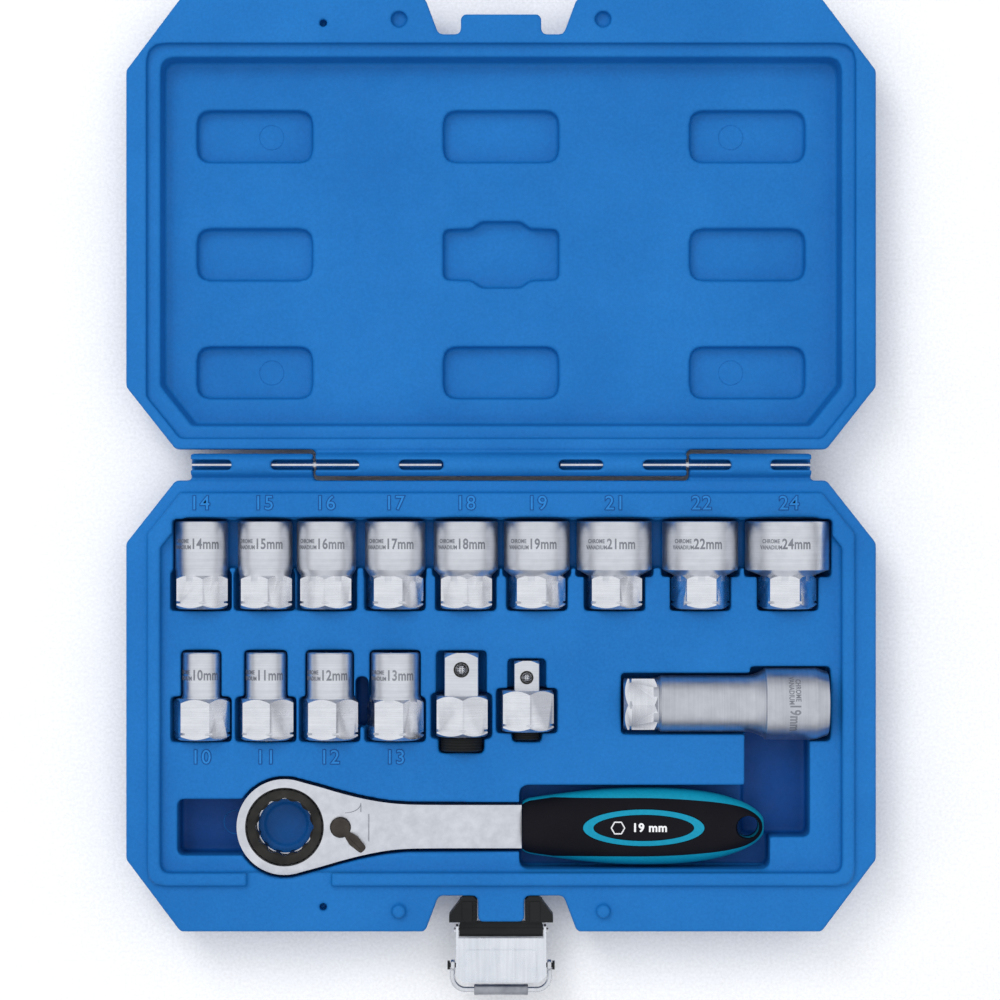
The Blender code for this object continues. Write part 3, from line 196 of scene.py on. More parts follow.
BLUE = ((0.007, 0.128, 0.4), (0.011, 0.158, 0.465))
CASE = moulded_plastic("case_blue", *BLUE, 0.46)
# the tray's blue, with painted shade in its pockets
TRAY_BLUE = moulded_plastic("case_blue_tray", *BLUE, 0.46, deep=0.0215)
# darker and lighter copies of the case blue: painted shade and painted highlight for the raised numerals
SHADE_BLUE = moulded_plastic("case_blue_painted_shade", (0.004, 0.05, 0.2), (0.005, 0.062, 0.235), 0.5)
LIT_BLUE = moulded_plastic("case_blue_painted_highlight", (0.015, 0.17, 0.48), (0.02, 0.2, 0.54), 0.42)
SATIN = turned_metal("satin_chrome", (0.72, 0.735, 0.765), (0.83, 0.84, 0.87), 0.33)
DULL = turned_metal("satin_extension", (0.55, 0.565, 0.6), (0.66, 0.675, 0.71), 0.34)
FACETS = turned_metal("milled_flats", (0.8, 0.81, 0.84), (0.92, 0.925, 0.945), 0.22, (60, 60, 2400), 0.22)
FORGED = turned_metal("forged_chrome", (0.72, 0.735, 0.77), (0.8, 0.81, 0.84), 0.36, (260, 260, 260),
                      0.05, 0.35)
BRIGHT = turned_metal("bright_steel", (0.7, 0.71, 0.74), (0.84, 0.85, 0.87), 0.22, (900, 60, 60), 0.08)
PLATED = turned_metal("plated_sheet", (0.82, 0.85, 0.89), (0.92, 0.94, 0.97), 0.28, (900, 40, 40), 0.1)
SLEEVED = turned_metal("rolled_sleeve", (0.3, 0.31, 0.34), (0.46, 0.47, 0.5), 0.42, (500, 500, 500), 0.5, 0.6)
# dark metal for stamped letters and marks: painted shade of their grooves
STAMP_SHADE = turned_metal("stamped_letters_painted_shade", (0.26, 0.27, 0.3), (0.36, 0.37, 0.4), 0.5, (300, 300, 300), 0.3)
OXIDE = turned_metal("black_oxide", (0.028, 0.027, 0.026), (0.06, 0.057, 0.052), 0.4, (200, 200, 900),
                     0.2, 0.3)
BRONZED = turned_metal("lever_steel", (0.05, 0.042, 0.036), (0.1, 0.088, 0.077), 0.36, (300, 300, 300),
                       0.2, 0.3)
BLACK = moulded_plastic("black_plastic", (0.008, 0.009, 0.0095), (0.015, 0.016, 0.016), 0.42)
SOFT = moulded_plastic("grip_black", (0.003, 0.003, 0.005), (0.007, 0.0065, 0.01), 0.48, 0.3, 0.1, 0.1)
TEAL = moulded_plastic("grip_teal", (0.003, 0.235, 0.36), (0.006, 0.28, 0.43), 0.42, 0.1, 0.1)
WHITE = moulded_plastic("white_print", (0.74, 0.74, 0.74), (0.86, 0.86, 0.86), 0.5)


# ---- mesh tools
QUARTER = math.pi / 2
ALONG_X = Matrix(((0, 0, 1, 0), (1, 0, 0, 0), (0, 1, 0, 0), (0, 0, 0, 1)))     # an outline's X, Y to Y, Z


def mm(*points):
    """Points given in millimetres."""
    return [(x * MM, y * MM) for x, y in points]


def rectangle(left, right, near, far):
    return [(left, near), (right, near), (right, far), (left, far)]


def ring(radius, sides, turn=0.0, centre=(0, 0), squash=1.0):
    angles = [turn + 2 * math.pi * n / sides for n in range(sides)]
    return [(centre[0] + radius * math.cos(a), centre[1] + squash * radius * math.sin(a)) for a in angles]


def rounded(outline, radius, steps=5):
    made = []
    for n, (x, y) in enumerate(outline):
        ax, ay = outline[n - 1][0] - x, outline[n - 1][1] - y
        bx, by = outline[(n + 1) % len(outline)][0] - x, outline[(n + 1) % len(outline)][1] - y
        la, lb = math.hypot(ax, ay), math.hypot(bx, by)
        ax, ay, bx, by = ax / la, ay / la, bx / lb, by / lb
        half = math.acos(max(-1, min(1, ax * bx + ay * by))) / 2
        run = min(radius / math.tan(half), 0.49 * min(la, lb))
        for step in range(steps + 1):
            t = step / steps
            made.append((x + ax * run * (1 - t) ** 2 + bx * run * t ** 2,
                         y + ay * run * (1 - t) ** 2 + by * run * t ** 2))
    return made


def flowing(points, steps=6):
    """A smooth open line through points, as Catmull and Rom draw it."""
    ends = [points[0]] + list(points) + [points[-1]]
    made = []
    for a, b, c, d in zip(ends, ends[1:], ends[2:], ends[3:]):
        for n in range(steps):
            t = n / steps
            made.append(tuple(0.5 * (2 * q + (r - p) * t + (2 * p - 5 * q + 4 * r - s) * t * t
                                     + (3 * q - p - 3 * r + s) * t ** 3) for p, q, r, s in zip(a, b, c, d)))
    return made + [tuple(points[-1])]


def from_mesh(name, points, faces):
    mesh = bpy.data.meshes.new(name)
    mesh.from_pydata([tuple(p) for p in points], [], faces)
    made = bpy.data.objects.new(name, mesh)
    scene.collection.objects.link(made)
    form = bmesh.new()
    form.from_mesh(mesh)
    bmesh.ops.remove_doubles(form, verts=form.verts, dist=1e-7)
    bmesh.ops.recalc_face_normals(form, faces=form.faces)
    form.to_mesh(mesh)
    form.free()
    return made


def prism(name, outline, low, high):
    count = len(outline)
    points = [(x, y, low) for x, y in outline] + [(x, y, high) for x, y in outline]
    faces = [list(range(count)), list(range(count, 2 * count))]
    faces += [[n, (n + 1) % count, count + (n + 1) % count, count + n] for n in range(count)]
    return from_mesh(name, points, faces)


def lathe(name, profile, sides=96, closed=False):
    """A profile of (radius, height) turned about Z; closed means a ring section clear of the axis."""
    count = len(profile)
    points = [(r * math.cos(2 * math.pi * n / sides), r * math.sin(2 * math.pi * n / sides), z)
              for n in range(sides) for r, z in profile]
    faces = []
    for n in range(sides):
        m = (n + 1) % sides
        for k in range(count if closed else count - 1):
            j = (k + 1) % count
            quad = [count * n + k, count * n + j, count * m + j, count * m + k]
            if profile[k][0] == 0:
                quad.pop(3)
            elif profile[j][0] == 0:
                quad.pop(2)
            faces.append(quad)
    return from_mesh(name, points, faces)


def turned(thing, matrix):
    thing.data.transform(matrix)
    return thing


def along_x(name, outline, start, end):
    return turned(prism(name, outline, start, end), ALONG_X)


def settle(thing):
    """The object's modifiers made part of its mesh."""
    bpy.context.view_layer.update()
    mesh = bpy.data.meshes.new_from_object(thing.evaluated_get(bpy.context.evaluated_depsgraph_get()))
    thing.modifiers.clear()
    old = thing.data
    thing.data = mesh
    bpy.data.meshes.remove(old)
    return thing


def combine(target, operation, *others):
    for other in others:
        step = target.modifiers.new("cut", "BOOLEAN")
        step.operation, step.solver, step.object = operation, "EXACT", other
        settle(target)
        bpy.data.objects.remove(other, do_unlink=True)
    return target


def bevelled(thing, width, segments=2, angle=32):
    step = thing.modifiers.new("edges", "BEVEL")
    step.width, step.segments = width, segments
    step.limit_method, step.angle_limit = "ANGLE", math.radians(angle)
    step.use_clamp_overlap = True
    return settle(thing)


def smooth(thing, angle=30):
    thing.data.shade_smooth()
    thing.data.set_sharp_from_angle(angle=math.radians(angle))
    return thing


def wire(name, path, radius, closed=False, sides=3):
    curve = bpy.data.curves.new(name, "CURVE")
    curve.dimensions = "3D"
    curve.bevel_depth, curve.bevel_resolution = radius, sides
    curve.use_fill_caps = not closed
    line = curve.splines.new("POLY")
    line.points.add(len(path) - 1)
    for point, place in zip(line.points, path):
        point.co = (*place, 1)
    line.use_cyclic_u = closed
    draft = bpy.data.objects.new(name + "_line", curve)
    scene.collection.objects.link(draft)
    bpy.context.view_layer.update()
    mesh = bpy.data.meshes.new_from_object(draft.evaluated_get(bpy.context.evaluated_depsgraph_get()))
    bpy.data.objects.remove(draft, do_unlink=True)
    made = bpy.data.objects.new(name, mesh)
    scene.collection.objects.link(made)
    form = bmesh.new()
    form.from_mesh(mesh)
    bmesh.ops.remove_doubles(form, verts=form.verts, dist=1e-6)
    form.to_mesh(mesh)
    form.free()
    return made


def letters(name, text, size, thick, bold=0.0, spacing=1.0, narrow=1.0, strips=0.0):
    """Filled letters lying in X and Y, thick each way, as a mesh; strips cuts them finely enough to bend."""
    curve = bpy.data.curves.new(name, "FONT")
    curve.body, curve.size, curve.extrude, curve.offset = text, size, thick, bold
    curve.align_x, curve.align_y = "CENTER", "CENTER"
    curve.space_character, curve.resolution_u = spacing, 4
    draft = bpy.data.objects.new(name + "_text", curve)
    scene.collection.objects.link(draft)
    bpy.context.view_layer.update()
    mesh = bpy.data.meshes.new_from_object(draft.evaluated_get(bpy.context.evaluated_depsgraph_get()))
    bpy.data.objects.remove(draft, do_unlink=True)
    mesh.transform(Matrix.Scale(narrow, 4, (1, 0, 0)))
    if strips:
        form = bmesh.new()
        form.from_mesh(mesh)
        reach = max(abs(vertex.co.x) for vertex in form.verts)
        for n in range(-int(reach / strips), int(reach / strips) + 1):
            bmesh.ops.bisect_plane(form, geom=form.verts[:] + form.edges[:] + form.faces[:],
                                   plane_co=(n * strips, 0, 0), plane_no=(1, 0, 0))
        form.to_mesh(mesh)
        form.free()
    made = bpy.data.objects.new(name, mesh)
    scene.collection.objects.link(made)
    return made


def show(thing, look, body, slot, *stands_for, angle=30):
    """Gives a finished piece its look and its body and hides the CAD nodes it stands for; the slot is not
    used.
    """
    thing.data.materials.clear()
    for one in look if isinstance(look, (list, tuple)) else [look]:
        thing.data.materials.append(one.material)
    smooth(thing, angle)
    if stands_for:
        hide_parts(*stands_for)
    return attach(thing, body)


def flats(thing, low, high):
    """Gives the flat sides of a hexagon, between two heights, the piece's second material."""
    for face in thing.data.polygons:
        if low < face.center.z < high and abs(face.normal.z) < 0.02 and face.area > 12 * MM * MM:
            face.material_index = 1


# ---- case
def moulded(node, body, voxel, look, *cuts):
    """A CAD half of the case with a blow moulding's soft edges."""
    shell = bpy.data.objects.new(node + "_moulding", nodes[node].data.copy())
    scene.collection.objects.link(shell)
    shell.data.materials.clear()
    combine(shell, "DIFFERENCE", *cuts)
    step = shell.modifiers.new("skin", "REMESH")
    step.mode, step.voxel_size, step.use_smooth_shade = "VOXEL", voxel, True
    step = shell.modifiers.new("soften", "SMOOTH")
    step.factor, step.iterations = 0.5, 3
    settle(shell)
    step = shell.modifiers.new("thin", "DECIMATE")
    step.ratio = min(1, 90000 / max(1, len(shell.data.polygons)) / 2)
    settle(shell)
    return show(shell, look, body, "case_blue", node, angle=75)


VOXEL = 0.75 * MM
ring_low, ring_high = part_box("ratchet_ring")
WRENCH_X, WRENCH_Y = (ring_low.x + ring_high.x) / 2, (ring_low.y + ring_high.y) / 2
WRENCH_Z = (ring_low.z + ring_high.z) / 2
TRAY = 22 * MM
LIP_TOP = 26.9 * MM
POCKET_FLOOR = ring_low.z - 0.3 * MM

diagonal = [(0.1124, -0.0155), (0.1138, -0.0148), (0.1012, -0.0392), (0.0998, -0.0399)]
marks = [lathe("seat_under_ring", [(0, 1 * MM), (8.6 * MM, 1 * MM), (8 * MM, -1.4 * MM), (0, -1.4 * MM)], 64)]
marks[0].location = (WRENCH_X, WRENCH_Y, POCKET_FLOOR)
marks.append(prism("well_groove", diagonal, 3.6 * MM, 8 * MM))
marks.append(prism("lip_gap", rectangle(-94.8 * MM, -63.1 * MM, -69 * MM, -60.5 * MM), 24.35 * MM, 29 * MM))
moulded("case_base", "case_base", VOXEL, TRAY_BLUE, *marks)
moulded("case_lid", "case_lid", VOXEL, CASE)


def numeral(size, x, y, z, height):
    # a numeral is a face in the lighter blue, painted highlight, over a wider, lower outline in the darker
    # blue, painted shade round its strokes
    face = letters(f"numeral_{size}", str(size), 7.4 * MM, height, 0.02 * MM, 1.08)
    shade_outline = letters(f"numeral_{size}_edge", str(size), 7.4 * MM, height * 0.7, 0.3 * MM, 1.08)
    for part, look in ((face, LIT_BLUE), (shade_outline, SHADE_BLUE)):
        turned(part, Matrix.Translation((x, y, z)))
        show(part, look, "case_base", "case_blue", angle=40)


def witness(name, x, y, z, body, radius):
    """The faint circle that a mould's pin leaves."""
    line = [(x + radius * math.cos(a), y + radius * math.sin(a), z) for a in
            [2 * math.pi * n / 48 for n in range(48)]]
    show(wire(name, line, 0.14 * MM, True, 2), CASE, body, "case_blue")


RECESS_FLOOR, WELL_FLOOR = 4.85 * MM, 5.05 * MM
MARK_OUT, MARK_FAR, MARK_NEAR = 87 * MM, 214.3 * MM, 125.1 * MM
for n, (side, y) in enumerate(((-1, MARK_FAR), (1, MARK_FAR), (-1, MARK_NEAR), (1, MARK_NEAR))):
    witness(f"lid_mark_{n}", side * MARK_OUT, y, RECESS_FLOOR, "case_lid", 4.6 * MM)
witness("tray_mark", -100.5 * MM, -45.1 * MM, WELL_FLOOR, "case_base", 4.5 * MM)


# ---- sockets
DRIVE = 19 * MM / math.sqrt(3)
LENGTH = 32.8 * MM
# each socket's size, its barrel's diameter and its roll in degrees
ROW_ONE = ((14, 19.8, 7), (15, 20.4, 9), (16, 22.2, 0), (17, 22.6, 16), (18, 24.1, 3), (19, 24.7, 17),
           (21, 28.2, 9), (22, 28.4, 30), (24, 31.6, 20))
ROW_TWO = ((10, 14.2, 20), (11, 15.2, 11), (12, 17.2, 15), (13, 18.2, 17))


def drive_hexagon(name, top, bottom):
    """A 19 mm hexagon with chamfered ends and the groove that notches its corners, between two heights."""
    low, high = bottom, top
    skin = [(0, high), (9.35 * MM, high), (11.2 * MM, high - 1.75 * MM), (11.2 * MM, low + 3.1 * MM),
            (10.25 * MM, low + 2.9 * MM), (10.25 * MM, low + 2.2 * MM), (11.2 * MM, low + 2 * MM),
            (11.2 * MM, low + 1.7 * MM), (8.9 * MM, low), (0, low)]
    made = lathe(name, skin, 96)
    return combine(made, "INTERSECT", prism("hexagon", ring(DRIVE, 6), low - MM, high + MM))


def stamp(name, text, size, centre, radius, body, slot, offset=(0, 0), downwards=False, small=False):
    """Letters in a dark metal, painted shade of a stamping, laid thinly on a round surface whose axis lies
    level, at an offset along and round it.
    """
    made = letters(name, text, size, 0.06 * MM, 0.06 * MM if small else 0.12 * MM, 1.06, 0.78, 0.5 * MM)
    for vertex in made.data.vertices:
        across, along, up = vertex.co.x + offset[0], vertex.co.y + offset[1], vertex.co.z
        angle = across / radius
        side, rise = (radius + up) * math.sin(angle), (radius + up) * math.cos(angle)
        if downwards:
            vertex.co = (centre[0] + along, centre[1] - side, centre[2] + rise)
        else:
            vertex.co = (centre[0] + side, centre[1] + along, centre[2] + rise)
    show(made, STAMP_SHADE, body, slot)


def socket(size, diameter, roll, hex_length, second):
    node = f"socket_{size}mm"
    low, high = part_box(node)
    place = Vector(((low.x + high.x) / 2, high.y, (low.z + high.z) / 2))
    radius = diameter / 2 * MM
    start = LENGTH - hex_length
    bite = size * MM
    if second:
        barrel = [(0, 0), (radius - 0.9 * MM, 0), (radius - 0.3 * MM, -0.15 * MM), (radius, -0.6 * MM),
                  (radius, -start + 1.6 * MM), (radius + 0.12 * MM, -start + 0.9 * MM),
                  (radius + 0.5 * MM, -start + 0.25 * MM), (radius + 0.6 * MM, -start - MM), (0, -start - MM)]
        drive = drive_hexagon("drive", -start + 0.1 * MM, -LENGTH)
    else:
        collar = min(radius - 0.1 * MM, 9.6 * MM)
        barrel = [(0, 0), (radius - 1 * MM, 0), (radius - 0.3 * MM, -0.2 * MM), (radius, -0.8 * MM),
                  (radius, -start + 1.5 * MM), (radius - 0.12 * MM, -start + 1.25 * MM),
                  (collar + 0.25 * (radius - collar), -start - 0.5 * MM), (collar, -start - 1.1 * MM),
                  (collar, -start - 3 * MM), (0, -start - 3 * MM)]
        drive = drive_hexagon("drive", -start - 0.6 * MM, -LENGTH)
    made = lathe(node + "_body", barrel, 96)
    lead = (bite + 0.2 * MM) / math.sqrt(3)
    depth = start - 4.4 * MM
    mouth = prism("mouth", ring(lead, 6), -depth, MM)
    cone = lathe("lead_in", [(0, MM), (lead + 1.4 * MM, MM), (lead - 1.1 * MM, -1.5 * MM),
                             (0, -1.5 * MM)], 64)
    through = min(6.6 * MM, 0.42 * bite)
    bore = lathe("through", [(0, MM - depth), (through, MM - depth), (through, -LENGTH + 0.5 * MM),
                             (through + 1 * MM, -LENGTH - 0.5 * MM), (0, -LENGTH - 0.5 * MM)], 64)
    combine(made, "UNION", drive)
    combine(made, "DIFFERENCE", mouth, cone, bore)
    made.data.materials.clear()
    made.data.materials.append(SATIN.material)
    made.data.materials.append(FACETS.material)
    flats(made, -LENGTH, -start - 0.4 * MM)
    indices = [face.material_index for face in made.data.polygons]
    turned(made, Matrix.Rotation(math.radians(roll + 30), 4, "Z"))
    made.matrix_world = Matrix.Translation(place) @ Z_UP
    show(made, (SATIN, FACETS), node, "satin_chrome", node, angle=28)
    made.data.polygons.foreach_set("material_index", indices)
    centre = (place.x, place.y - 8.6 * MM, place.z)
    stamp(f"{node}_size", f"{size}mm", 5.4 * MM, centre, radius, node, "satin_chrome", (2.3 * MM, 0))
    for row, text in enumerate(("CHROME", "VANADIUM")):
        stamp(f"{node}_steel_{row}", text, 2.1 * MM, centre, radius, node, "satin_chrome",
              (-7.6 * MM, (1.15 - 2.3 * row) * MM), small=True)
    return place


strip_y, tray_y = 90 * MM - 14.4 * MM, 90 * MM - 109.4 * MM
for row, hex_length, second in ((ROW_ONE, 13.4 * MM, False), (ROW_TWO, 15.4 * MM, True)):
    for size, diameter, roll in row:
        at = socket(size, diameter, roll, hex_length, second)
        if second:
            numeral(size, at.x, tray_y, TRAY, 0.34 * MM)
        else:
            numeral(size, at.x, strip_y, LIP_TOP, 0.3 * MM)


# ---- square drive adapters
BALL_DOWN = 6.2 * MM             # the square's end to the ball's middle


def adapter(label, square, neck, tail, tail_radius, ball_radius, roll):
    body = f"{label}_adapter"
    low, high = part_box(body)
    place = Vector(((low.x + high.x) / 2, high.y, (low.z + high.z) / 2))
    half = square / 2
    made = prism(body + "_body", rounded(rectangle(-half, half, -half, half), 0.9 * MM, 4), -neck - 2 * MM, 0)
    crown = lathe("crown", [(0, 0), (half + 0.2 * MM, 0), (half + 1.9 * MM, -1.3 * MM),
                            (half + 4 * MM, -3.4 * MM), (half + 4 * MM, -neck - 2 * MM),
                            (0, -neck - 2 * MM)], 96)
    combine(made, "INTERSECT", crown)
    spigot = min(tail_radius - 1.6 * MM, 5 * MM)
    shoulder = -neck - 15.4 * MM
    hexes = turned(drive_hexagon("drive", -neck, shoulder), Matrix.Rotation(math.radians(30 + roll), 4, "Z"))
    end = shoulder - tail
    combine(made, "UNION", hexes,
            lathe("spigot", [(0, -neck - 2 * MM), (spigot, -neck - 2 * MM), (spigot, end + 0.4 * MM),
                             (spigot - 0.4 * MM, end), (0, end)], 64))
    hole = lathe("ball_hole", [(0, half + 2 * MM), (ball_radius + 1.1 * MM, half + 2 * MM),
                               (ball_radius + 0.9 * MM, half - 0.25 * MM),
                               (ball_radius + 0.3 * MM, half - 0.7 * MM),
                               (ball_radius + 0.3 * MM, -0.45 * half), (0, -0.45 * half)], 48)
    turned(hole, Matrix.Translation((0, 0, -BALL_DOWN)) @ Matrix.Rotation(QUARTER, 4, "X"))
    combine(made, "DIFFERENCE", hole)
    flats_at = [(face.index, 1) for face in made.data.polygons
                if abs(face.normal.z) < 0.02 and face.area > 20 * MM * MM and face.center.z < -neck]
    made.matrix_world = Matrix.Translation(place) @ Z_UP
    show(made, (SATIN, FACETS), body, "satin_chrome", body, angle=28)
    for index, look in flats_at:
        made.data.polygons[index].material_index = look
    profile = [(spigot + 0.3 * MM, 0), (tail_radius - 0.5 * MM, 0)]
    ribs = 4 if tail > 4 * MM else 2
    for n in range(ribs * 2 + 1):
        depth = 0.35 * MM + (tail - 1.1 * MM) * n / (ribs * 2)
        profile.append((tail_radius - (0.42 * MM if n % 2 else 0), -depth))
    profile += [(tail_radius - 0.5 * MM, -tail + 0.3 * MM), (spigot + 0.3 * MM, -tail + 0.3 * MM)]
    sleeve = lathe(f"{label}_retainer_sleeve", profile, 72, True)
    sleeve.matrix_world = (Matrix.Translation(place) @ Z_UP
                           @ Matrix.Translation((0, 0, shoulder - 0.3 * MM)))
    show(sleeve, BLACK, body, "black_plastic", f"{label}_retainer", angle=50)
    step = nodes[f"{label}_ball"].modifiers.new("round", "SUBSURF")
    step.levels = step.render_levels = 2
    nodes[f"{label}_ball"].data.shade_smooth()
    # a dark ring laid in the gap round the detent ball: painted shade of its hole in the satin chrome
    rim = [(ball_radius + out, up) for out, up in mm((0.32, 0.02), (0.62, 0.1), (0.86, -0.05), (0.86, -0.3),
                                                     (0.32, -0.6))]
    ball_shade_ring = lathe(f"{label}_ball_gap_shade", rim, 48, True)
    ball_shade_ring.location = (place.x, place.y - BALL_DOWN, place.z + half - 0.05 * MM)
    show(ball_shade_ring, OXIDE, body, "satin_chrome", angle=50)


adapter("half_inch", 12.7 * MM, 16 * MM, 5.4 * MM, 8 * MM, 2 * MM, 3)
adapter("three_eighths", 9.52 * MM, 11 * MM, 3.2 * MM, 5 * MM, 1.6 * MM, 6)

# ---- extension
low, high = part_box("extension_socket")
place = Vector((high.x, (low.y + high.y) / 2, (low.z + high.z) / 2))
OUTER, TUBE, REACH = 13.5 * MM, 10.6 * MM, 76.7 * MM
profile = [(0, 0), (OUTER - 2.2 * MM, 0), (OUTER - 1.5 * MM, -0.3 * MM), (OUTER - 0.1 * MM, -4.4 * MM),
           (OUTER, -4.9 * MM), (OUTER, -23.5 * MM), (OUTER - 0.3 * MM, -23.9 * MM)]
profile += [(TUBE + (OUTER - 0.6 * MM - TUBE) * (1 - t) ** 2, -(24 + 7.2 * t) * MM) for t in
            [n / 8 for n in range(9)]]
profile += [(TUBE, -62.6 * MM), (TUBE - 0.5 * MM, -63.4 * MM)]
profile += mm((9.7, -63.6), (9.7, -65.6), (0, -65.6))
extension = lathe("extension_socket_body", profile, 96)
combine(extension, "UNION", drive_hexagon("drive", -63.8 * MM, -REACH))
lead = 19.4 * MM / math.sqrt(3)
combine(extension, "DIFFERENCE", prism("mouth", ring(lead, 6), -20 * MM, MM),
        lathe("lead_in", [(0, MM), (lead + 1.2 * MM, MM), (lead - 1.2 * MM, -1.5 * MM), (0, -1.5 * MM)], 64),
        lathe("through", [(0, -19 * MM), (6.6 * MM, -19 * MM), (6.6 * MM, -REACH + 0.6 * MM),
                          (7.6 * MM, -REACH - 0.4 * MM), (0, -REACH - 0.4 * MM)], 64))
sides = [face.index for face in extension.data.polygons
         if face.center.z < -64 * MM and abs(face.normal.z) < 0.02 and face.area > 12 * MM * MM]
extension.matrix_world = Matrix.Translation(place) @ Matrix.Rotation(QUARTER, 4, "Y")
show(extension, (DULL, FACETS), "extension_socket", "satin_chrome", "extension_socket", angle=28)
for index in sides:
    extension.data.polygons[index].material_index = 1
where = (place.x - 13.4 * MM, place.y, place.z)
stamp("extension_size", "19mm", 5.6 * MM, where, OUTER, "extension_socket", "satin_chrome", (5 * MM, 0), True)
for row, text in enumerate(("CHROME", "VANADIUM")):
    stamp(f"extension_steel_{row}", text, 2.7 * MM, where, OUTER, "extension_socket", "satin_chrome",
          (-6 * MM, (1.25 - 2.5 * row) * MM), True, small=True)

# ---- wrench
HUB = Matrix.Translation((WRENCH_X, WRENCH_Y, WRENCH_Z))
HEAD, THICK, SHANK, WAIST = 17.9 * MM, 5.25 * MM, 3.6 * MM, 8.1 * MM
arc = [(HEAD * math.cos(a), HEAD * math.sin(a)) for a in [math.radians(180 - n * 3.6) for n in range(30)]]
neck = flowing(mm((6.4, 16.75), (13.3, 14.9), (20.1, 12.9), (28.7, 10.7), (37.3, 9.1), (46, 8.3))
               + [(60 * MM, WAIST), (88.7 * MM, WAIST)], 5)
top = arc + neck[1:]
plan = top + [(x, -y) for x, y in reversed(top[1:])]
wrench = prism("wrench_forging", plan, -THICK, THICK)
side_view = [(-20 * MM, -6 * MM), (24 * MM, -6 * MM), (24 * MM, -THICK + 0.02 * MM), (30 * MM, -4.9 * MM),
             (38 * MM, -4 * MM), (44 * MM, -SHANK), (94 * MM, -SHANK)]
side_view += [(x, -z) for x, z in reversed(side_view)]
side_on = Matrix.Rotation(QUARTER, 4, "X")
combine(wrench, "INTERSECT", turned(prism("side", side_view, -30 * MM, 30 * MM), side_on))
bevelled(wrench, 0.7 * MM, 3, 40)
combine(wrench, "DIFFERENCE",
        lathe("bore", [*mm((0, 7), (16, 7)), (14.55 * MM, THICK - 0.25 * MM), (14.25 * MM, THICK - 0.6 * MM),
                       *mm((14.25, 4.3), (14.95, 4.3), (14.95, -4), (16.05, -4), (16.05, -7), (0, -7))], 96),
        prism("pawl_room", rectangle(12 * MM, 25.2 * MM, -7 * MM, 7 * MM), -2.9 * MM, 2.9 * MM),
        lathe("pivot", [(0, 7 * MM), (2.3 * MM, 7 * MM), (2.3 * MM, -3.9 * MM), (0, -3.9 * MM)], 48))
wrench.matrix_world = HUB
show(wrench, FORGED, "wrench", "satin_chrome", "wrench_body", angle=30)

gear_teeth = []
for n in range(36):
    a = 2 * math.pi * n / 36
    gear_teeth += [(13.8 * MM * math.cos(a), 13.8 * MM * math.sin(a)),
                   (14.6 * MM * math.cos(a + math.pi / 36), 14.6 * MM * math.sin(a + math.pi / 36))]
gear = lathe("ratchet_ring_gear", mm((0, 5.45), (12.4, 5.45), (12.7, 5.3), (13.1, 5.3), (13.4, 5.45),
                                     (13.7, 5.4), (13.9, 5.1), (13.9, -5.1), (13.6, -5.45), (0, -5.45)), 96)
combine(gear, "UNION", prism("teeth", gear_teeth, -4 * MM, 4 * MM))
tip, valley = 19.1 * MM / math.sqrt(3), 19.1 * MM / 2 / math.cos(math.radians(15))
star = []
for n in range(12):
    a = math.radians(30 * n)
    for reach, leans in ((tip * 0.985, (-3, 3)), (valley * 1.004, (12.5, 15, 17.5))):
        for lean in leans:
            star.append((reach * math.cos(a + math.radians(lean)), reach * math.sin(a + math.radians(lean))))
groove = mm((8.4, 0.8), (11.2, 0.8), (11.2, -0.8), (8.4, -0.8))
combine(gear, "DIFFERENCE", prism("star", star, -7 * MM, 7 * MM), lathe("snap_groove", groove, 72, True),
        lathe("lead_top", mm((0, 6), (11.6, 6), (9.4, 4.4), (0, 4.4)), 72),
        lathe("lead_low", mm((0, -4.4), (9.4, -4.4), (11.6, -6), (0, -6)), 72))
gear.matrix_world = HUB
show(gear, OXIDE, "ratchet_ring", "dark_steel", "ratchet_ring", angle=30)
line = [(10.45 * MM * math.cos(a), 10.45 * MM * math.sin(a), 0) for a in
        [math.radians(10 + 340 * n / 90) for n in range(91)]]
snap = wire("ring_snap_wire_round", line, 0.42 * MM)
snap.matrix_world = HUB
show(snap, BRIGHT, "ratchet_ring", "bright_steel", "ring_snap_wire")

PIVOT = Matrix.Translation((WRENCH_X + 21 * MM, WRENCH_Y, WRENCH_Z))
lever = lathe("reversing_lever_key", mm((0, 7.35), (2.9, 7.35), (3.55, 7.15), (3.9, 6.7), (3.9, 5.55),
                                        (2, 5.55), (2, -3.6), (0, -3.6)), 64)
arm = rounded(mm((0, -1.5), (3.4, -1.3), (7, -2.2), (12.3, -1.5), (12.3, 1.5), (7, 2.2), (3.4, 1.3),
                 (0, 1.5)), 1.2 * MM, 4)
blade = bevelled(prism("arm", arm, 5.55 * MM, 7.2 * MM), 0.35 * MM, 2, 50)
nick = rounded(rectangle(4.8 * MM, 11.2 * MM, -0.55 * MM, 0.55 * MM), 0.5 * MM, 3)
combine(blade, "DIFFERENCE", prism("finger_groove", nick, 6.75 * MM, 8 * MM))
combine(lever, "UNION", turned(blade, Matrix.Rotation(math.radians(-45), 4, "Z")))
lever.matrix_world = PIVOT
show(lever, BRONZED, "reversing_lever", "dark_steel", "reversing_lever", angle=35)
bend = [(1.6 + 6 * math.sin(a), 5.3 + 3.6 * (1 - math.cos(a))) for a in [QUARTER * n / 8 for n in range(9)]]
# the direction marks are thin wires in the dark stamp metal: painted shade of stamped lines
for n, line in enumerate((bend, [(7.6, 8.9), (7.6, 5.6)], [(10.6, 4.9), (10.6, -5.4)])):
    path = [(x * MM, y * MM, THICK + 0.01 * MM) for x, y in line]
    mark = wire(f"direction_mark_{n}", path, 0.1 * MM, False, 1)
    mark.matrix_world = PIVOT
    show(mark, STAMP_SHADE, "wrench", "satin_chrome")


